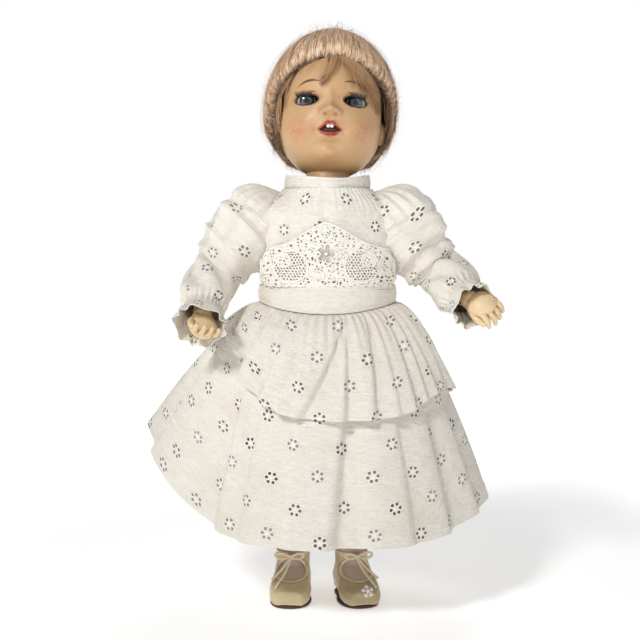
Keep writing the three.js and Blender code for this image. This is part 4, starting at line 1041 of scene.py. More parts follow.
def head_point(direction, grow=0.0, face=True):
    """The head's skin towards unit directions, from the neck pivot."""
    half = HEAD_HALF + grow
    p = direction * half
    oval = np.maximum(np.hypot(direction[:, 0], direction[:, 1]), 0.01)
    full = np.maximum(1 - np.abs(direction[:, 2]) ** JAW_FULLNESS, 0) ** (1 / JAW_FULLNESS)
    round_under = np.where(direction[:, 2] < 0, full / oval, 1.0)
    jowl = hump(p[:, 2], -0.026, 0.020)
    p[:, 0] *= round_under * (1 + 0.05 * jowl)
    p[:, 1] *= round_under * (1 + 0.03 * jowl)
    if face:
        x, z = p[:, 0] / MM, p[:, 2] / MM
        forward = np.clip(-2.5 * direction[:, 1], 0, 1)
        for across, up, out, wide, tall in FACE:
            for aside in (-across, across) if across else (0,):
                p[:, 1] -= out * MM * spot(x, z, aside, up, wide, tall) * forward
        around_eye = np.hypot((np.abs(x) - 20.5) / 9.6, (z + 0.6) / 4.9)
        p[:, 1] -= 0.0009 * hump(around_eye, 1.14, 0.15) * forward
        p[:, 1] += 0.0006 * hump(around_eye, 1.50, 0.10) * forward * (z > 1)
    p[:, 2] += EYES_UP
    return p


def opening(name, outline, near, far):
    """A prism through the face for a cutter, from an outline of the head's own across and up."""
    count = len(outline)
    cutter, local = rod(name, count, 1, 2)
    bearing = np.round(np.arctan2(local[:, 1], local[:, 0]) / (2 * math.pi) * count).astype(int) % count
    deep = np.where(local[:, 2] > 0, near, far)
    across, up = np.array(outline)[bearing].T
    move_to(cutter, to_head(np.stack([across, deep, up + EYES_UP], 1)))
    with editing(cutter):
        bpy.ops.mesh.normals_make_consistent(inside=False)
    return cutter


def eye_outline(side, points=56):
    outline = []
    for i in range(points):
        t = 2 * math.pi * i / points
        lid = EYE_OPEN_UP if math.sin(t) > 0 else EYE_OPEN_DOWN
        up = lid * math.sin(t) * (0.86 + 0.14 * abs(math.sin(t))) + EYE_OPEN_SHIFT
        outline.append((side * EYE_ASIDE + EYE_OPEN_HALF * math.cos(t), up))
    return outline


def mouth_outline(points=64):
    """The parted lips: a peaked arch above, a shallow curve below."""
    outline = []
    for i in range(points):
        t = 2 * math.pi * i / points
        across = MOUTH_HALF_WIDTH * math.cos(t)
        share = abs(math.cos(t))
        if math.sin(t) > 0:
            up = MOUTH_ARCH * (1 - share**1.35) - 0.0004 * hump(across, 0, 0.0013)
        else:
            up = -MOUTH_DIP * (1 - share**2.4)
        outline.append((across, MOUTH_UP + up))
    return outline


def shade_head(piece):
    """Stores where the lips, cheeks, nostrils and lid rims are, and each point's place on the face."""
    local = from_head(places(piece))
    x, y, z = local[:, 0] / MM, local[:, 1] / MM, (local[:, 2] - EYES_UP) / MM
    front = soft_step(-y, 20, 34)
    across = np.abs(x)
    from_mouth = z - MOUTH_UP / MM
    cupid = 8.3 * (1 - np.clip(across / 11.6, 0, 1) ** 1.15) + 0.9 * hump(across, 3.0, 1.7)
    cupid -= 0.9 * hump(x, 0, 1.3)
    under = -6.3 * (1 - np.clip(across / 10.6, 0, 1) ** 2.2)
    lip = soft_step(cupid - from_mouth, -0.2, 0.7) * soft_step(from_mouth - under, -0.2, 0.9)
    lip *= soft_step(11.4 - across, 0, 1.0) * front
    paint(piece, "lip", lip)
    blush = spot(across, z, 28, -26, 10.5, 9) * front
    paint(piece, "blush", blush)
    nostril = spot(across, z, 4.4, -14.2, 1.6, 1.0) * front
    inner_eye = spot(across, z, 11.4, -1.4, 0.9, 0.8) * front
    paint(piece, "nostril", np.maximum(nostril, 0.8 * inner_eye))
    # The lid rims: a dark line round each eye opening, painted eyeliner deepened as painted shade at the opening's
    # edge.
    rim = np.hypot((across - 20.5) / 9.4, (z + 0.6) / 4.7)
    paint(piece, "rim", soft_step(1.20 - rim, 0, 0.10) * front)
    hollow = spot(across, z, 20.5, 5.5, 13, 4.5)
    under_chin = soft_step(-z, 40, 56)
    wing = spot(across, z, 9.8, -11.8, 1.5, 3.2)
    under_nose = spot(x, z, 0, -16.6, 6.5, 1.4)
    under_lip = spot(x, z, 0, -36.6, 8.0, 2.2)
    around = hump(rim, 1.30, 0.24)
    shaded = 0.7 * around + 0.5 * hollow + 0.9 * under_chin + 0.75 * wing + 0.75 * under_nose + 0.6 * under_lip
    paint(piece, "shadow", np.clip(shaded, 0, 1) * front)
    map_cut(piece, np.stack([local[:, 0], local[:, 2] - EYES_UP], 1))


def painted_face():
    material, w, shader = new_material("painted composition", roughness=0.48, coat=0.03)
    cut, place = w.cut_map(), w.place()
    aged = w.aged(place, (199, 161, 118), (168, 127, 84), 0.5)
    tone = w.mix(w.value_of("shadow") * 0.45, aged, rgb(176, 116, 66))
    speckle = w.ramp(w.noise(place, 260.0, 3.0), 0.35, 0.62, 0.35, 1.0)
    tone = w.mix(w.value_of("blush") * speckle * 0.55, tone, rgb(190, 104, 68))
    patch = w.ramp(w.noise(place, 420.0, 3.0), 0.30, 0.50, 0.72, 1.0)
    tone = w.mix(w.value_of("lip") * patch * 0.95, tone, rgb(160, 46, 28))
    tone = w.mix(w.value_of("nostril") * 0.8, tone, rgb(150, 56, 34))
    x, z, _ = w.split(cut)
    outward = abs(x) - EYE_ASIDE
    arch = (outward + 0.0035) ** 2.0 * -33.0
    above = z - (arch + 0.0158)
    grown = 1.0 - ((outward + 0.0008) / 0.0102) ** 2.0
    half = w.math("MAXIMUM", grown, 0.0) * 0.00155
    hairs = w.grain(cut, 2600, 700)
    near = abs(above) / (half + 1e-05)
    brow = w.ramp(near + hairs * 0.5, 0.65, 1.3, 1.0, 0.0)
    brow = brow * w.ramp(grown, 0.0, 0.12)
    tone = w.mix(brow * 0.92, tone, rgb(84, 46, 26))
    # Lid rims: painted eyeliner, darkened further as painted shade round the openings.
    tone = w.mix(w.value_of("rim") * 0.9, tone, rgb(40, 20, 12))
    w.feed(shader["Base Color"], tone)
    lines = w.ramp(w.cells(place, 210.0), 0.0, 0.05, 0.0, 0.25)
    soft = lines + w.noise(place, 300.0, 3.0)
    w.feed(shader["Normal"], w.bump(soft, 0.0001, 0.35))
    return material


def model_head():
    head, d = ball("face_shell", 220, 170)
    level, bearing = np.hypot(d[:, 0], d[:, 1]), np.arctan2(d[:, 0], -d[:, 1])
    bearing = bearing - 0.5 * np.sin(bearing)
    directions = np.stack([level * np.sin(bearing), -level * np.cos(bearing), d[:, 2]], 1)
    move_to(head, to_head(head_point(directions)))
    crown = to_head(np.array([[0, 0, EYES_UP + CROWN_UP]]))[0]
    lean = HEAD_TURN @ np.array(Matrix.Rotation(CROWN_LEAN, 3, "X") @ Vector((0, 0, 1)))
    with editing(head):
        bpy.ops.mesh.bisect(plane_co=crown, plane_no=lean, clear_outer=True)
    thicken(head, SHELL_WALL)
    cutters = [opening(f"eye_hole_{name}", eye_outline(side), -0.062, CUT_DEPTH) for name, side in SIDES.items()]
    cutters.append(opening("mouth_hole", mouth_outline(), -0.070, CUT_DEPTH))
    for cutter in cutters:
        cut_out(head, cutter)
    shade_head(head)
    dress(head, SKIN, "head", "head_shell", angle=50)
    model_neck()
    for name, side in SIDES.items():
        model_ear(name, side)


def model_neck():
    neck, local = ball("neck_flange", 64, 40, NECK_RADIUS)
    local[:, 2] = np.where(local[:, 2] > 0, local[:, 2] * 1.5, local[:, 2])
    move_to(neck, to_head(local))
    shade_head(neck)
    dress(neck, SKIN, "head")


def model_ear(name, side):
    ear, d = ball(f"ear_{name}", 40, 28)
    away = np.hypot(d[:, 1] / 0.62, d[:, 2] / 0.66)
    dent = 0.55 * hump(away, 0, 0.5) * (side * d[:, 0] > 0)
    lobe = np.where(d[:, 2] < -0.5, 0.78, 1.0)
    local = np.stack([d[:, 0] * (1 - dent), d[:, 1] * lobe, d[:, 2]], 1) * EAR_HALF
    local += np.array([side * EAR_ASIDE, 0, EYES_UP - EAR_DROP])
    move_to(ear, to_head(local))
    finish_with(ear, "SUBSURF", levels=1, render_levels=1)
    shade_head(ear)
    dress(ear, SKIN, "head")


def glass_eye():
    material, w, shader = new_material("blown glass eye", roughness=0.06, coat=0.6)
    x, z, _ = w.split(w.cut_map())
    away = w.length(x, z)
    bearing = w.math("ARCTAN2", z, x)
    across, up = w.math("COSINE", bearing) * 9.0, w.math("SINE", bearing) * 9.0
    spread = w.wire("ShaderNodeCombineXYZ", across, up, away * 260.0)
    rays = w.ramp(w.noise(spread, 1.6, 3.0), 0.36, 0.66)
    iris = w.mix(rays, rgb(22, 30, 40), rgb(98, 110, 124))
    iris = w.mix(w.ramp(away, 0.0044, 0.0062), iris, rgb(14, 18, 26))
    iris = w.mix(w.ramp(away, 0.0020, 0.0027, 1.0, 0.0), iris, rgb(6, 6, 8))
    tone = w.mix(w.ramp(away, 0.0064, 0.0069), iris, rgb(158, 154, 146))
    # Painted shade: past the iris the eye darkens to near black, for the shade of the lids over its corners.
    tone = w.mix(w.ramp(away, 0.0074, 0.0094), tone, rgb(34, 24, 18))
    lid = w.value_of("lid")
    tone = w.mix(lid, tone, rgb(190, 140, 102))
    tone = w.mix(w.value_of("lash line"), tone, rgb(36, 20, 12))
    w.feed(shader["Base Color"], tone)
    w.feed(shader["Roughness"], 0.05 + lid * 0.4)
    return material


def model_eye(name, side):
    eye, points = ball(f"glass_eye_{name}", 72, 48, EYE_RADIUS)
    d = points / EYE_RADIUS
    gaze = np.array([0.0, -math.cos(GAZE_DOWN), -math.sin(GAZE_DOWN)])
    up = np.array([0.0, -math.sin(GAZE_DOWN), math.cos(GAZE_DOWN)])
    from_gaze = np.arccos(np.clip(d @ gaze, -1, 1)) * EYE_RADIUS
    aside, rise = d[:, 0], d @ up
    spread = np.maximum(np.hypot(aside, rise), 1e-6)
    cut = np.stack([from_gaze * aside / spread, from_gaze * rise / spread], 1)
    tilt = np.arctan2(d[:, 2], -d[:, 1])
    paint(eye, "lid", soft_step(tilt, LID_EDGE - math.radians(1), LID_EDGE + math.radians(1)) * (d[:, 1] < 0.6))
    paint(eye, "lash line", hump(tilt, LID_EDGE, math.radians(3)))
    centre = np.array([side * EYE_ASIDE, -EYE_FORWARD, EYES_UP])
    move_to(eye, to_head(d * EYE_RADIUS + centre))
    map_cut(eye, cut)
    dress(eye, EYE_GLASS, "eyes", f"eye_{name}")
    plant_lashes(name, centre)


LASHES = 60
LASH_SPREAD = 0.0078
LASH_LENGTH = 0.0037
LASH_HALF = 0.00023


def plant_lashes(name, centre):
    """Upper lashes, set in the eye's own rim: each runs out between the lids, then up over the lid."""
    strands = []
    for i in range(LASHES):
        share = (i + 0.5 + 0.3 * chance.normal()) / LASHES
        aside = LASH_SPREAD * (2 * share - 1)
        rise = 0.0036 * math.sqrt(max(1 - (aside / 0.0092) ** 2, 0.02)) - 0.0008
        deep = -math.sqrt(EYE_RADIUS**2 - aside**2 - rise**2) - 0.0003
        root = centre + np.array([aside, deep, rise])
        lid = -HEAD_HALF[1] * math.sqrt(1 - (root[0] / HEAD_HALF[0]) ** 2) + 0.0012
        clear = max(root[1] - lid, 0.0015)
        long = LASH_LENGTH * (0.75 + 0.4 * chance.random())
        fan = aside / LASH_SPREAD * 0.9 + 0.1 * chance.normal()
        path = []
        for k in range(8):
            along = k / 7
            out = clear * min(1.0, along / 0.5)
            up = long * max(along - 0.35, 0) / 0.65
            path.append(root + np.array([fan * up, -out - 0.0010 * along, up + 0.0004 * along]))
        strands.append((np.array(path), LASH_HALF))
    lashes = strand_piece(f"lashes_{name}", strands, np.array([0.0, -1.0, 0.3]))
    dress(lashes, LASH, "eyes")


def strand_piece(name, strands, facing=None):
    """Thin flat strands as one piece: each is a path and a half width, tapered to its tip and facing one way
    or away from the head's middle."""
    points, faces, cut, shade = [], [], [], []
    for path, half in strands:
        way = np.gradient(path, axis=0)
        out = facing if facing is not None else path - HAIR_MIDDLE
        side = np.cross(way, out)
        side = side / np.maximum(np.linalg.norm(side, axis=1), 1e-9)[:, None]
        along = np.linspace(0, 1, len(path))
        width = half * (1 - 0.75 * along**3)
        start = len(points)
        tone, column = chance.random(), chance.random() * 0.2
        for k in range(len(path)):
            for edge in (-1, 1):
                points.append(path[k] + edge * width[k] * side[k])
                cut.append((column + edge * half, 0.09 * along[k]))
                shade.append(tone)
        for k in range(len(path) - 1):
            a = start + 2 * k
            faces.append((a, a + 1, a + 3, a + 2))
    mesh = bpy.data.meshes.new(name)
    mesh.from_pydata([tuple(p) for p in to_head(np.array(points))], [], faces)
    piece = bpy.data.objects.new(name, mesh)
    bpy.context.collection.objects.link(piece)
    map_cut(piece, cut)
    paint(piece, "tone", shade)
    return piece


def model_teeth():
    for name, side in SIDES.items():
        bpy.ops.mesh.primitive_cube_add(size=2, location=(0, 0, 0))
        tooth = named(f"tooth_{name}")
        finish_with(tooth, "BEVEL", width=0.5, segments=4)
        finish_with(tooth, "SUBSURF", levels=1, render_levels=1)
        local = places(tooth) * TOOTH_HALF + np.array([side * 0.0016, -0.0487, EYES_UP + MOUTH_UP + 0.0036])
        move_to(tooth, to_head(local))
        dress(tooth, ENAMEL, "head", "upper_teeth" if side > 0 else None)
    # The inside of the mouth: dark red, its red paint darkened as painted shade within the open mouth.
    mouth, local = ball("mouth_lining", 40, 24)
    move_to(mouth, to_head(local * MOUTH_HALF + np.array([0, -0.0415, EYES_UP + MOUTH_UP + 0.0012])))
    dress(mouth, MOUTH_DARK, "head")


SKIN = painted_face()
EYE_GLASS = glass_eye()
ENAMEL = plain("tooth enamel", (240, 236, 226), roughness=0.2, amount=0.1, depth=0.00005)
# Red paint of the mouth's inside, darkened as painted shade.
MOUTH_DARK = plain("dark mouth lining", (70, 22, 16), roughness=0.6)
LASH = plain("lash hair", (38, 22, 14), roughness=0.6)


# Wig

WIG_STRANDS = 4300
LOOSE_HAIRS = 900
LOOSE_HALF = 0.00011
HAIR_MIDDLE = np.array([0, 0.004, EYES_UP])
FRONT_SPREAD = 0.95  # of the fuller roll over the forehead
CAP_NET_THICKNESS = 0.0008
CAP_EASE = 0.0016  # between the cap and the bare head
COMBED_SHARE = 0.78  # of the wig's base, before it turns under
WIG_HALF = np.array([0.0585, 0.0600, 0.0715])
HAIRLINE_BEARINGS = np.radians([-180, -112, -94, -84, -72, -58, -40, -14, 10, 32, 52, 68, 82, 94, 104, 116, 180])
HAIRLINE_RISES = np.array([-46, -44, -30, -22, -4, 23, 39, 48, 49, 43, 32, 21, 10, -6, -38, -42, -46]) * MM


def hair_end(bearing):
    """How high above the eyes the combed hair turns under, by bearing from the face towards the doll's left."""
    return np.interp(bearing, HAIRLINE_BEARINGS, HAIRLINE_RISES)


def on_wig(turn, bearing, inward):
    """A point of the combed hair, by its turn from the crown, and the ways out and down there."""
    ring, rise = np.sin(turn), np.cos(turn)
    half = (WIG_HALF - np.asarray(inward)[..., None]).T
    tuck = np.where(rise < -0.3, 1 - 0.45 * (-0.3 - rise), 1.0)
    s, c = np.sin(bearing), np.cos(bearing)
    point = np.stack([half[0] * ring * s * tuck, 0.002 - half[1] * ring * c * tuck, half[2] * rise], -1)
    out = np.stack([ring * s, -ring * c, rise * 0.85], -1)
    down = np.stack([rise * s, -rise * c, -ring * 1.2], -1)
    unit = lambda v: v / np.linalg.norm(v, axis=-1, keepdims=True)
    return point + np.array([0, 0, EYES_UP]), unit(out), unit(down)


def hair_path(bearing, inward, drift, roll, curl, steps=14, bends=6):
    """A strand combed from the crown, turned under at its end."""
    end = np.arccos(np.clip(hair_end(bearing) / WIG_HALF[2], -0.95, 0.95))
    share = np.linspace(0.04, 1, steps)
    clump = 5 * math.sin(9 * bearing) + 3 * math.sin(23 * bearing)
    bearings = bearing + drift * (1 - share) + 0.030 * share * np.sin(13 * share + clump + 12 * drift)
    waved = inward - 0.0010 * share * np.sin(17 * share + 1.7 * clump)
    combed, out, down = on_wig(share * end, bearings, waved)
    last, out, down = combed[-1], out[-1], down[-1]
    turned = []
    for k in range(1, bends + 1):
        a = curl * k / bends
        turned.append(last - roll * out + roll * (out * math.cos(a) + down * math.sin(a)))
    return np.vstack([combed, turned])


def hair(name, light, dark, shade):
    """Streaked hair, each strand of its own tone, with a painted shadow where it turns under."""
    material, w, shader = new_material(name, roughness=0.74)
    cut = w.cut_map()
    streaks = w.use(STREAKS, Cut=cut)
    tone = w.mix(w.ramp(streaks["Shade"], 0.3, 0.68), rgb(*dark), rgb(*light))
    tone = w.mix(w.value_of("tone") * 0.5, tone, rgb(*dark))
    _, along, _ = w.split(cut)
    # Painted shadow under the roll: the turned-under ends of the strands take the shade colour.
    tone = w.mix(w.ramp(along, 0.068, 0.086, 0.0, 0.85), tone, rgb(*shade))
    w.feed(shader["Base Color"], tone)
    w.feed(shader["Normal"], w.bump(streaks["Height"], 0.0003, 0.6))
    w.feed(shader["Sheen Weight"], 0.15)
    w.feed(shader["Specular IOR Level"], 0.25)
    return material


def comb_wig():
    strands = []
    for _ in range(WIG_STRANDS):
        bearing = chance.uniform(-math.pi, math.pi)
        front = hump(bearing, 0, FRONT_SPREAD)
        inward = abs(chance.normal(0, 0.0024)) - 0.0012 * chance.random()
        roll = (0.0035 + 0.0040 * front) * chance.uniform(0.8, 1.12) - 0.4 * max(inward, 0)
        curl = math.radians(chance.uniform(120, 215))
        path = hair_path(bearing, inward, chance.normal(0, 0.07), max(roll, 0.0015), curl)
        path += chance.normal(0, 0.00026, path.shape)
        strands.append((path, chance.uniform(0.00036, 0.00066)))
    wig = strand_piece("mohair_wig", strands)
    dress(wig, MOHAIR, "head", "wig")


def comb_flyaways():
    """Loose hairs that have worked out of the combing, lifted off it in long bows."""
    strands = []
    for _ in range(LOOSE_HAIRS):
        bearing = chance.uniform(-math.pi, math.pi)
        path = hair_path(bearing, -0.0004, chance.normal(0, 0.30), 0.004, math.radians(150))
        count = len(path)
        first = chance.integers(0, count - 7)
        path = path[first : first + chance.integers(6, count - first + 1)]
        share = np.linspace(0, 1, len(path))[:, None]
        out = path - HAIR_MIDDLE
        out = out / np.linalg.norm(out, axis=1)[:, None]
        lift = abs(chance.normal(0, 0.0022)) + 0.0004
        bow = np.sin(math.pi * share) * lift + share**2 * lift * chance.uniform(0, 1)
        sway = chance.normal(0, 0.0016, 3) * np.sin(math.pi * share * chance.uniform(0.8, 2.2))
        strands.append((path + out * bow + sway, LOOSE_HALF))
    loose = strand_piece("loose_hairs", strands)
    dress(loose, FRINGE, "head")


def comb_side_locks():
    """Hair that hangs close at the temples: over the cheek on the right, behind the ear on the left."""
    strands = []
    for side, count in ((-1, 760), (1, 420)):
        for _ in range(count):
            layer = chance.random()
            share = np.linspace(0, 1, 16)
            lowest = -0.024 + 0.005 * chance.normal() - 0.008 * layer
            rise = 0.031 + 0.003 * chance.normal() + (lowest - 0.031) * share
            above = np.clip(rise - 0.006, 0, 1)
            if side < 0:
                across = 0.0428 + 0.0110 * layer - 0.52 * above
                deep = -0.0205 - 0.28 * rise + 0.014 * layer + 0.0016 * chance.normal()
            else:
                across = 0.0468 + 0.0090 * layer - 0.35 * above
                deep = 0.003 - 0.0005 * layer + 0.006 * chance.normal() + 0 * rise
            across = across - 0.004 * np.clip((-0.014 - rise) / 0.02, 0, 1.5)
            wave = 0.0012 * share * np.sin(11 * share + 6 * chance.random())
            path = np.stack([side * (across + 0.6 * wave), deep + wave, rise + EYES_UP], 1)
            strands.append((path, chance.uniform(0.00024, 0.00044)))
    locks = strand_piece("side_locks", strands)
    dress(locks, SIDE_HAIR, "head")


def lay_wig_base():
    """The body of the hair under the loose strands, and its turned-under edge."""

    def hang(across, down):
        bearing = math.pi * (2 * across - 1)
        end = np.arccos(np.clip(hair_end(bearing) / WIG_HALF[2], -0.95, 0.95))
        share = np.clip(down / COMBED_SHARE, 0.03, 1)
        front = hump(bearing, 0, FRONT_SPREAD)
        wave = 0.0010 * ripple(11 * bearing, 3 * down, 17) * soft_step(down, 0.1, 0.5)
        points, out, below = on_wig(share * end, bearing, 0.0016)
        roll = (0.0032 + 0.0036 * front)[:, None]
        a = (np.clip((down - COMBED_SHARE) / (1 - COMBED_SHARE), 0, 1) * math.radians(190))[:, None]
        points = points - roll * out + roll * (out * np.cos(a) + below * np.sin(a)) + wave[:, None] * out
        points = to_head(points)
        return tuple(points.T), (0.058 * bearing, 0.09 * down)

    base, _ = cloth("wig_base", 220, 60, hang, closed=True, thickness=0.0012)
    paint(base, "tone", np.full(len(base.data.vertices), 0.9))
    dress(base, MOHAIR, "head")


def lay_wig_cap():
    """The net cap that the hair is sewn to, over the crown down to the hairline."""
    cap, d = ball("wig_cap", 96, 64)
    local = head_point(d, grow=CAP_EASE, face=False)
    bearing = np.arctan2(d[:, 0], -d[:, 1])
    above = local[:, 2] - EYES_UP - hair_end(bearing)
    move_to(cap, to_head(local))
    cut_away(cap, "VERT", "vertices", above <= 0.001)
    thicken(cap, CAP_NET_THICKNESS, offset=1.0)
    dress(cap, CAP_NET, "head")


def brow_front(across, up):
    """How far forward the forehead lies, from the neck pivot."""
    inside = np.clip(1 - (across / 0.0445) ** 2 - (up / 0.058) ** 2, 0.02, 1)
    return -0.049 * np.sqrt(inside) - 0.0022 * spot(across, up, 0, 0.026, 0.026, 0.016)


def comb_fringe():
    """Wisps that have slipped from under the roll: a lock in the middle and a sweep to the doll's left."""
    strands = []
    locks = [
        # how many, start across, spread, end across, spread, end up, spread, bow across
        (70, 0.000, 0.0022, -0.0085, 0.0022, 0.0125, 0.0022, 0.0085),
        (500, 0.010, 0.0062, 0.0330, 0.0066, 0.0150, 0.0060, 0.0030),
        (260, 0.022, 0.0070, 0.0415, 0.0025, 0.0020, 0.0060, 0.0060),
        (22, -0.016, 0.0090, -0.0260, 0.0080, 0.0270, 0.0050, 0.0020),
        (40, -0.036, 0.0030, -0.0405, 0.0020, 0.0040, 0.0080, -0.0020),
    ]
    for count, start, start_spread, end, end_spread, rise, rise_spread, bow in locks:
        for _ in range(count):
            first = np.array([start + start_spread * chance.normal(), 0.0440 - 9.0 * start**2])
            last = np.array([end + end_spread * chance.normal(), rise + rise_spread * chance.normal()])
            bend = (first + last) / 2 + np.array([bow, 0.003]) * (1 + 0.35 * chance.normal())
            t = np.linspace(0, 1, 13)[:, None]
            flat = arc(t, first, bend, last)
            lift = (0.0014 + 0.0022 * np.sin(math.pi * t[:, 0])) * chance.uniform(0.5, 1.1)
            deep = brow_front(flat[:, 0], flat[:, 1]) - lift - 0.002 * (1 - t[:, 0])
            path = np.stack([flat[:, 0], deep, flat[:, 1] + EYES_UP], 1)
            strands.append((path, chance.uniform(0.00016, 0.00030)))
    fringe = strand_piece("fringe_wisps", strands)
    dress(fringe, FRINGE, "head")


# Light and dark strand colours, then the colour of the painted shadow where the hair turns under.
MOHAIR = hair("light brown mohair", (255, 240, 214), (228, 186, 146), (84, 48, 30))
FRINGE = hair("fringe mohair", (228, 188, 142), (138, 94, 58), (120, 80, 48))
SIDE_HAIR = hair("side mohair", (244, 208, 168), (166, 118, 80), (96, 60, 38))
CAP_NET = plain("wig cap net", (84, 54, 34), roughness=0.9)


# Hands, limbs and shoes


def rounded_copy(node, name, voxel, rounds, material, body):
    """A piece that follows a CAD node's solid, with its facets rounded off."""
    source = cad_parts[node]
    choose(source)
    bpy.ops.object.duplicate()
    copy = named(name)
    for key in list(copy.keys()):
        del copy[key]
    place = source.matrix_world.copy()
    copy.parent = None
    copy.matrix_world = place
    settle(copy)
    with editing(copy):
        bpy.ops.mesh.remove_doubles(threshold=0.00001)
    melt(copy, voxel, rounds)
    dress(copy, material, body, node)
    return copy


def map_round(piece, origin, axis):
    """Gives a piece a cut map wrapped round an axis: round it across, and along it down."""
    axes = frame_along(Vector(axis), Vector((1, 0.2, 0.1)))
    local = (places(piece) - np.array(origin)) @ axes.T
    radius = float(np.mean(np.hypot(local[:, 0], local[:, 1])))
    flat = np.stack([np.arctan2(local[:, 1], local[:, 0]) * radius, local[:, 2]], 1)
    map_cut(piece, flat)


def bead(name, centre, size, turn=None, segments=24):
    """One rounded lump: a ball of the given half sizes."""
    piece, local = ball(name, segments, segments * 2 // 3)
    local = local * np.asarray(size)
    if turn is not None:
        local = local @ turn
    move_to(piece, local + np.asarray(centre))
    return piece


def joined(name, pieces):
    choose(*pieces)
    bpy.ops.object.join()
    return named(name)


def mark_creases(piece):
    """Stores where the skin is hollow, for the painted shade in the creases: there its neighbours stand above a
    point's own tangent plane.
    """
    points = places(piece)
    ends = np.empty(2 * len(piece.data.edges), int)
    piece.data.edges.foreach_get("vertices", ends)
    normals = np.empty(3 * len(points))
    piece.data.vertices.foreach_get("normal", normals)
    first, second = np.concatenate([ends.reshape(-1, 2), ends.reshape(-1, 2)[:, ::-1]]).T
    shared = np.maximum(np.bincount(first, minlength=len(points)), 1)
    step = ((points[second] - points[first]) * normals.reshape(-1, 3)[first]).sum(1)
    hollow = np.bincount(first, weights=step, minlength=len(points)) / shared
    for _ in range(3):
        hollow = np.bincount(first, weights=hollow[second], minlength=len(points)) / shared
    paint(piece, "crease", soft_step(hollow, 0.4e-5, 2.2e-5))


HAND_VOXEL = 0.00042
HAND_LUMPS = [
    # towards the thumb, out of the palm and along the hand, then half sizes, in millimetres
    (0, 0, 15.5, 12.6, 8.4, 13.0),  # palm
    (6.5, 2.6, 13.5, 5.2, 4.6, 7.5),  # heel of the thumb
    (0, 0, 4.5, 8.4, 7.4, 8.8),  # wrist
    (0, 0, 0, 6, 6, 6),  # ball in the wrist
]
THUMB = np.array([[7.5, 1, 11], [14.0, 4, 18], [12.4, 8, 26]])  # root, bend and tip
THUMB_BEADS = 13
FINGER_REACHES = (13.4, 15.2, 14.6, 12.4)
FINGER_PITCH = 5.7
FINGER_ROOT = 18.5
FINGER_CURL = math.radians(118)
FINGER_BEADS = 15


def model_hand(name, side):
    across = PALMS[name].cross(HANDS[name])
    axes = frame_along(HANDS[name], across)
    wrist = np.array(WRISTS[name])
    put = lambda p: np.asarray(p, float) * MM @ axes + wrist
    lumps = []
    for aside, out, along, *half in HAND_LUMPS:
        lumps.append(bead("lump", put((side * aside, out, along)), np.array(half) * MM, axes))
    for i, reach in enumerate(FINGER_REACHES):
        aside = -side * (i - 1.5) * FINGER_PITCH
        for t in np.linspace(0, 1, FINGER_BEADS):
            x = aside * (1 + 0.13 * t)
            bend = FINGER_CURL * t**1.1
            y = 0.62 * reach * (1 - math.cos(bend))
            z = FINGER_ROOT + 0.80 * reach * (0.35 * t + 0.65 * math.sin(bend))
            r = 2.95 - 0.7 * t + 0.18 * math.cos(3 * math.pi * t)
            lumps.append(bead("finger", put((x, y, z)), np.full(3, r * MM), None, 14))
    for t in np.linspace(0, 1, THUMB_BEADS):
        x, y, z = arc(t, *THUMB)
        lumps.append(bead("thumb", put((side * x, y, z)), np.full(3, (3.5 - 0.9 * t) * MM), None, 14))
    hand = joined(f"hand_skin_{name}", lumps)
    melt(hand, HAND_VOXEL, 5)
    mark_creases(hand)
    dress(hand, HAND_PAINT, f"hand_{name}", f"hand_{name}")


def hand_paint():
    material, w, shader = new_material("painted hands", roughness=0.45)
    place = w.place()
    aged = w.aged(place, (230, 204, 162), (180, 146, 104), 0.5)
    # Painted shade: the creases of the hand are darkened to brown.
    w.feed(shader["Base Color"], w.mix(w.value_of("crease") * 0.65, aged, rgb(112, 72, 42)))
    w.feed(shader["Normal"], w.bump(w.noise(place, 500.0, 3.0), 0.0001, 0.4))
    return material


HAND_PAINT = hand_paint()
BODY_PAINT = plain("flesh paint", (206, 172, 130), roughness=0.5, tint=(150, 112, 76))
BALL_WOOD = plain("turned beech", (190, 146, 98), roughness=0.6, tint=(140, 98, 60))


LIMBS = [
    # part, its body, and how finely and how often it is rounded
    ("upper_arm", "upper_arm", 0.0008, 6),
    ("forearm", "forearm", 0.0008, 6),
    ("thigh", "thigh", 0.0011, 6),
    ("lower_leg", "shin", 0.0011, 8),
]


def round_limbs():
    for name in SIDES:
        for limb, body, voxel, rounds in LIMBS:
            node, copy = f"{limb}_{name}", f"{limb}_skin_{name}"
            rounded_copy(node, copy, voxel, rounds, BODY_PAINT, f"{body}_{name}")


# Shoes

TOE_OUT = {"right": math.radians(-4), "left": math.radians(13)}
LEG_ASIDE = 0.027
LEG_SHIFT = 0.004
KNEES = {name: np.array([BODY_X + side * LEG_ASIDE - LEG_SHIFT, BODY_Y, 0]) for name, side in SIDES.items()}


def foot_axes(name):
    turn = Matrix.Rotation(TOE_OUT[name], 3, "Z")
    return np.array([turn @ Vector(v) for v in ((1, 0, 0), (0, 1, 0), (0, 0, 1))])


def on_foot(name, points):
    """Points measured from under the knee along the foot's own axes, in millimetres."""
    return np.asarray(points, float) * MM @ foot_axes(name) + KNEES[name]


def off_foot(name, points):
    return (points - KNEES[name]) @ foot_axes(name).T / MM


def kid_leather():
    material, w, shader = new_material("cream kid", roughness=0.42, coat=0.1)
    place = w.place()
    aged = w.aged(place, (206, 188, 150), (142, 116, 78), 0.6)
    tone = w.mix(w.value_of("binding") * 0.85, aged, rgb(238, 222, 194))
    tone = w.mix(w.value_of("seam") * 0.7, tone, rgb(120, 94, 60))
    w.feed(shader["Base Color"], tone)
    grain = w.noise(place, 900.0, 3.0) + w.value_of("binding") * 1.2
    grain = grain - w.value_of("seam")
    w.feed(shader["Normal"], w.bump(grain, 0.0002, 0.5))
    return material


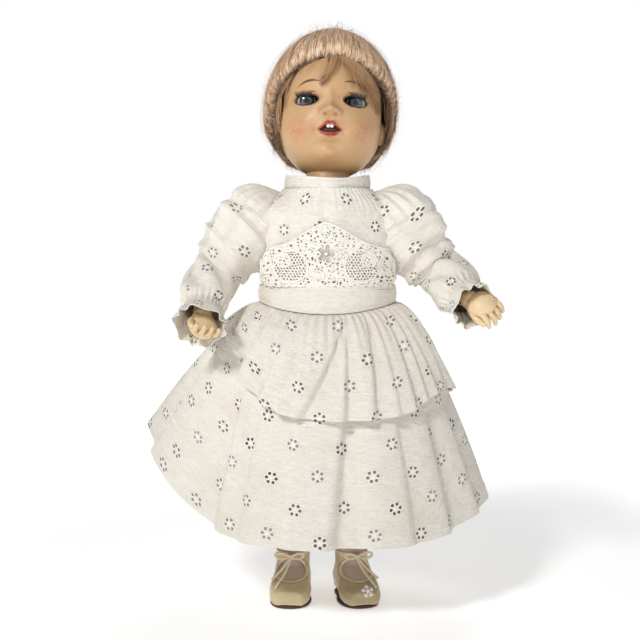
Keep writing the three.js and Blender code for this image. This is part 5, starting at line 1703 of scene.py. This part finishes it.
def sock_knit():
    material, w, shader = new_material("mauve knit", roughness=0.9)
    knit = w.use(KNIT, Cut=w.cut_map())
    # Painted shade: the gaps between the ribs are darker.
    tone = w.mix(knit["Gap"], rgb(216, 194, 178), rgb(152, 126, 112))
    w.feed(shader["Base Color"], tone)
    w.feed(shader["Normal"], w.bump(knit["Height"], 0.0004, 0.7))
    w.feed(shader["Sheen Weight"], 0.2)
    return material


KID = kid_leather()
SOCK = sock_knit()
SOLE = plain("brown sole leather", (78, 48, 32), roughness=0.6)
RIBBON = plain("cream shoe lace", (234, 218, 184), roughness=0.8, grain=120)
PEARL = plain("wax pearl", (242, 236, 224), roughness=0.22, amount=0.15, depth=0.00003, coat=0.4)


# In millimetres along the foot's own axes
INSTEP = (0, -13, 26.9)  # middle of the opening over the instep
INSTEP_HALF = (13, 15, 9)
TOE_TOP = 12
SHOE_TOP = 41
WELT_TOP = 11  # below it the upper spreads towards the sole
ARCH = -6
SOLE_THICK = 2.6
SOLE_HALF = 18.0
SOLE_WAIST = 3.6  # how much narrower the sole is at its waist
SOLE_MIDDLE = -14
TOE_REACH = 24.2
TOE_ROUND = 0.84
HEEL_REACH = 39.4
HEEL_START = 9
HEEL_LENGTH = 16.6


def round_shoe(name):
    body = f"shin_{name}"
    upper = rounded_copy(f"shoe_upper_{name}", f"shoe_kid_{name}", 0.0006, 70, KID, body)
    local = off_foot(name, places(upper))
    x, y, z = local.T
    instep = np.linalg.norm((local - INSTEP) / INSTEP_HALF, axis=1)
    rim = hump(instep, 1.10, 0.09) * (z > TOE_TOP)
    collar = hump(z, SHOE_TOP, 1.3)
    paint(upper, "binding", np.clip(rim + collar, 0, 1))
    paint(upper, "seam", hump(instep, 1.25, 0.03) * (z > TOE_TOP))
    low = np.clip((WELT_TOP - z) / 8, 0, 1) ** 1.5
    ahead = ARCH + (y - ARCH) * (1 + 0.07 * low)
    move_to(upper, on_foot(name, np.stack([x * (1 + 0.13 * low), ahead, z], 1)))
    model_sole(name)
    sock = rounded_copy(f"sock_{name}", f"knit_sock_{name}", 0.0007, 20, SOCK, body)
    map_round(sock, KNEES[name] + np.array([0, 0.006, 0]), (0, 0, 1))


def model_sole(name):
    """A thin sole cut to a foot's outline, its edge rounded."""
    sole, local = rod(f"sole_leather_{name}", 120, 1, SOLE_THICK)
    away, turn = np.hypot(local[:, 0], local[:, 1]), np.arctan2(local[:, 1], local[:, 0])
    c, s = np.cos(turn), np.sin(turn)
    toe_x = SOLE_HALF * np.sign(c) * np.abs(c) ** TOE_ROUND
    toe_y = SOLE_MIDDLE + TOE_REACH * np.sign(s) * np.abs(s) ** TOE_ROUND
    heel_y = SOLE_MIDDLE + HEEL_REACH * s
    waist = SOLE_HALF - SOLE_WAIST * soft_step(heel_y, SOLE_MIDDLE, 6)
    heel_half = waist * np.sqrt(np.clip(1 - np.clip((heel_y - HEEL_START) / HEEL_LENGTH, 0, 1) ** 2, 0, 1))
    heel_x = np.sign(c) * np.where(heel_y > HEEL_START, heel_half, waist)
    x, y = np.where(s < 0, toe_x, heel_x), np.where(s < 0, toe_y, heel_y)
    move_to(sole, on_foot(name, np.stack([x * np.minimum(away, 1), y, local[:, 2] + SOLE_THICK / 2], 1)))
    finish_with(sole, "BEVEL", width=0.0007, segments=3, angle_limit=math.radians(50))
    dress(sole, SOLE, f"shin_{name}", f"shoe_sole_{name}", angle=50)


def lace(name, points, radius):
    """A soft round lace along a smooth path."""
    curve = bpy.data.curves.new(name, "CURVE")
    curve.dimensions = "3D"
    spline = curve.splines.new("NURBS")
    spline.points.add(len(points) - 1)
    for point, place in zip(spline.points, points):
        point.co = (*place, 1.0)
    spline.use_endpoint_u = True
    spline.order_u = 4
    curve.bevel_depth = radius
    curve.bevel_resolution = 3
    curve.resolution_u = 8
    curve.use_fill_caps = True
    piece = bpy.data.objects.new(name, curve)
    bpy.context.collection.objects.link(piece)
    choose(piece)
    bpy.ops.object.convert(target="MESH")
    return named(name)


KNOT = (-11.6, 38.4)  # ahead and up on the foot, in millimetres
LACE_RADIUS = 0.0011


def tie_shoe(name):
    """A bow over the instep: two flaps' ends, a knot, two loops and two tails that lie on the shoe."""
    y, z = KNOT
    out = SIDES[name]  # both tails fall towards the outside of the foot
    at = lambda x, ahead, up: (x, y - ahead, z + up)
    pieces = [bead("knot", on_foot(name, [at(0, 0.8, 0)])[0], np.array([2.7, 2.1, 2.3]) * MM)]
    paths = []
    for side in (-1, 1):
        reach = 15.5 if side == out else 12.0
        paths.append([at(0, 0.8, 0), at(0.35 * reach * side, 2.4, 3.6), at(0.85 * reach * side, 1.2, 4.6),
                      at(reach * side, 1.6, 0.4), at(0.5 * reach * side, 3.0, -1.8), at(0, 1.0, 0)])
        paths.append([at(0, 0.2, 0), at(4.5 * side, -0.6, 0.8), at(9.5 * side, -5.0, 0.6),
                      at(12.5 * side, -10.0, 0.6)])
    paths.append([at(0, 1.2, 0), at(1.2 * out, 4.6, -4.0), at(3.6 * out, 9.0, -9.6), at(6.6 * out, 14.5, -14.6),
                  at(10.0 * out, 19.0, -18.6), at(12.4 * out, 21.0, -22.5)])
    paths.append([at(0, 1.2, 0), at(3.0 * out, 4.6, -3.0), at(6.8 * out, 9.5, -8.4), at(11.5 * out, 13.0, -12.4),
                  at(15.6 * out, 15.5, -16.0)])
    for path in paths:
        pieces.append(lace("lace run", on_foot(name, path), LACE_RADIUS))
    bow = joined(f"lace_bow_{name}", pieces)
    dress(bow, RIBBON, f"shin_{name}", f"shoe_tie_{name}")


PEARL_RADIUS = 0.0021
PEARL_RING = 0.0037


def sew_pearls():
    """A flower of wax pearls on the left shoe's toe."""
    low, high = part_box("pearl_flower_left")
    heart = np.array((low + high) / 2) + np.array([-3.2, -1.4, -2.2]) * MM @ foot_axes("left")
    lean = foot_axes("left").T @ np.array(Matrix.Rotation(math.radians(50), 3, "X"))
    beads = [bead("heart", heart + lean @ np.array([0, 0, 0.0006]), np.full(3, PEARL_RADIUS))]
    for i in range(5):
        a = 2 * math.pi * i / 5 + 0.4
        place = heart + lean @ np.array([PEARL_RING * math.cos(a), PEARL_RING * math.sin(a), -0.0004])
        beads.append(bead("petal", place, np.full(3, PEARL_RADIUS)))
    flower = joined("pearl_flower", beads)
    dress(flower, PEARL, "shin_left", "pearl_flower_left")


# Lace panel and back buttons

LACE_LOW = 0.2785
LACE_SIDE = 0.031
LACE_PEAK = 0.023
LACE_HALF = 0.0585


def make_guipure():
    """Guipure lace in millimetres from the panel's foot: two netted commas, a flower, and bars between."""
    group, w, taken, given = new_group(
        "guipure", [("Cut", VECTOR, None), ("Edge", FLOAT, 0.0)], [("Thread", FLOAT), ("Cord", FLOAT)]
    )
    u, v, _ = w.split(taken["Cut"])
    waver = (w.noise(taken["Cut"], 190.0, 2.0) - 0.5) * 4.2
    x = u / MM + waver
    z = v / MM + waver * -0.7

    def ring(aside, up, wide, tall, from_x=x):
        a = (from_x - aside) / wide
        b = (z - up) / tall
        return w.length(a, b)

    def line(value, at, half):
        return w.ramp(abs(value - at), half, half * 1.7, 1.0, 0.0)

    def largest(first, *others):
        for one in others:
            first = w.math("MAXIMUM", first, one)
        return first

    def inside(value):
        return w.ramp(value, 0.97, 1.03, 1.0, 0.0)

    across = abs(x - -1.5)
    round_net = ring(30.0, 16.5, 14.5, 13.5, across)
    curl = ring(36.0, 21.5, 6.0, 5.5, across)
    row = z / 2.3
    shift = w.math("FLOOR", row) % 2.0 * 0.5
    column = x / 2.7 + shift
    dx = (w.math("FRACT", column) - 0.5) * 2.7
    dz = (w.math("FRACT", row) - 0.5) * 2.3
    from_hole = w.length(dx, dz)
    netted = inside(round_net) * w.ramp(curl, 0.97, 1.03)
    net = w.ramp(from_hole, 0.66, 0.86) * netted
    away = ring(-1.5, 27.0, 1.0, 1.0)
    bearing = w.math("ARCTAN2", z - 27.0, x + 1.5)
    petal = 6.6 + w.math("COSINE", bearing * 5.0) * 2.4
    share = away / petal
    ribs = abs(w.math("SINE", bearing * 10.0))
    flower = w.ramp(ribs, 0.25, 0.5, 1.0, 0.0) * inside(share)
    cord = largest(
        line(round_net, 1.0, 0.055),
        line(curl, 1.0, 0.11) * inside(round_net),
        line(share, 1.0, 0.10),
        w.ramp(away, 1.3, 1.9, 1.0, 0.0),
        line(ring(9.0, 9.5, 7.0, 3.6, across), 1.0, 0.13),
        line(ring(13.0, 33.5, 8.0, 3.4, across), 1.0, 0.13),
        line(ring(51.0, 19.0, 4.6, 8.5, across), 1.0, 0.13),
        line(ring(-1.5, 44.5, 5.2, 6.0), 1.0, 0.15),
        taken["Edge"],
    )
    ground = w.ramp(w.cells(taken["Cut"], 340.0), 0.21, 0.29, 1.0, 0.0)
    ground = ground * (1.0 - netted)
    ground = ground * w.ramp(share, 0.97, 1.03)
    w.feed(given["Thread"], largest(cord, flower, net, ground))
    w.feed(given["Cord"], cord)
    return group


GUIPURE = make_guipure()


def lace_cotton():
    material, w, shader = new_material("cream guipure lace", roughness=0.85)
    cut = w.cut_map()
    lace_lines = w.use(GUIPURE, Cut=cut, Edge=w.value_of("edge"))
    aged = w.aged(w.place(), (241, 236, 226), (200, 184, 154), 0.2)
    w.feed(shader["Base Color"], w.mix(lace_lines["Cord"], aged, rgb(243, 239, 231)))
    twist = w.grain(cut, 1800, 1800)
    height = lace_lines["Cord"] + twist * 0.5
    w.feed(shader["Normal"], w.bump(height + lace_lines["Thread"], 0.0006, 0.9))
    w.feed(shader["Alpha"], w.ramp(lace_lines["Thread"], 0.35, 0.6))
    return material


LACE_COTTON = lace_cotton()


def sew_lace():
    def hang(across, down):
        aside = 2 * across - 1
        x = LACE_HALF * aside
        tent = np.clip(1 - np.abs(aside + 0.02) / 0.92, 0, 1)
        top = LACE_LOW + LACE_SIDE + LACE_PEAK * (0.55 * tent + 0.45 * soft_step(tent, 0.25, 1.0))
        top = top - 0.009 * soft_step(np.abs(aside), 0.86, 1.0)
        scallops = 0.0012 * np.abs(np.sin(9 * math.pi * (aside + 1)))
        low = LACE_LOW - scallops + 0.003 * soft_step(np.abs(aside), 0.9, 1.0)
        z = top + (low - top) * down
        half_width, half_depth = torso_section(z)
        out = BODICE_EASE + 0.0017 + 0.0012 * hump(z, PUFF_UP, 0.009)
        out = out + 0.0004 * ripple(60 * x, 70 * z, 41) - 0.0008 * soft_step(down, 0.88, 1.0)
        share = np.clip(np.abs(x) / (half_width + out), 0, 0.992)
        y = -(half_depth + out) * (1 - share**SQUARENESS) ** (1 / SQUARENESS)
        return (BODY_X + x, BODY_Y + y, z), (x, z - LACE_LOW)

    piece, area = cloth("lace_panel_cloth", 200, 90, hang, thickness=0)
    flat = np.stack(np.meshgrid(np.arange(201), np.arange(91)), -1).reshape(-1, 2) / (200, 90)
    near = np.minimum(np.minimum(flat[:, 0], 1 - flat[:, 0]) * 2.6, np.minimum(flat[:, 1], 1 - flat[:, 1]))
    paint(piece, "edge", 1 - soft_step(near, 0.028, 0.048))
    thicken(piece, 0.0005)
    dress(piece, LACE_COTTON, "torso", "lace_panel")


BUTTON_RADIUS = 0.0036
BUTTON_THICKNESS = 0.0016
HOLE_RADIUS = 0.00042


def model_button(number):
    low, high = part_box(f"back_button_{number}")
    heart = (low + high) / 2
    button, _ = rod(f"shell_button_{number}", 48, BUTTON_RADIUS, BUTTON_THICKNESS)
    finish_with(button, "BEVEL", width=0.0006, segments=4, angle_limit=math.radians(40))
    for i in range(4):
        a = math.pi / 4 + i * math.pi / 2
        place = (BUTTON_RADIUS / 4 * math.cos(a), BUTTON_RADIUS / 4 * math.sin(a), 0)
        hole, _ = rod("thread_hole", 16, HOLE_RADIUS, 0.01, place)
        settle(hole)
        cut_out(button, hole)
    turned = places(button) @ np.array(Matrix.Rotation(math.radians(90), 3, "X")).T
    move_to(button, turned + np.array(heart))
    dress(button, SHELL, "torso", f"back_button_{number}", angle=40)


SHELL = plain("shell button", (232, 226, 212), roughness=0.25, amount=0.2, depth=0.00003, coat=0.3)
CARD = plain("pasteboard", (150, 120, 84), roughness=0.9)
PLASTER = plain("plaster", (228, 222, 208), roughness=0.9)
LEAD = plain("lead", (96, 98, 102), roughness=0.5, metallic=0.9)
WIRE = plain("iron wire", (120, 118, 112), roughness=0.4, metallic=0.95)
ELASTIC = plain("covered elastic", (214, 206, 190), roughness=0.85, grain=160)

CARRIED = {
    "torso": BODY_PAINT, "arm_elastic": ELASTIC, "leg_elastic": ELASTIC, "neck_button": BALL_WOOD,
    "neck_hook": WIRE, "pate": CARD, "upper_teeth": ENAMEL, "eye_plaster": PLASTER, "eye_rocker": WIRE,
    "eye_weight": LEAD, "shoulder_ball": BALL_WOOD, "elbow_ball": BALL_WOOD, "hip_ball": BALL_WOOD,
    "knee_ball": BALL_WOOD,
}


def finish_carried():
    """The hidden works and the joint balls keep their solids and take their own finishes."""
    for node_name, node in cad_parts.items():
        for start, material in CARRIED.items():
            if node_name.startswith(start):
                node.data.materials.clear()
                node.data.materials.append(material)
                smooth(node, 40)


place_camera()
light_studio()
lay_floor()
sew_bodice()
sew_waistband()
sew_collar()
sew_lace()
sew_skirts()
round_limbs()
for side_name, side_sign in SIDES.items():
    sew_upper_sleeve(side_name, side_sign)
    sew_lower_sleeve(side_name, side_sign)
    model_hand(side_name, side_sign)
    round_shoe(side_name)
    tie_shoe(side_name)
    model_eye(side_name, side_sign)
sew_pearls()
model_head()
model_teeth()
lay_wig_cap()
lay_wig_base()
comb_wig()
comb_side_locks()
comb_flyaways()
comb_fringe()
for button_number in range(1, 5):
    model_button(button_number)
finish_carried()
bpy.ops.object.select_all(action="DESELECT")
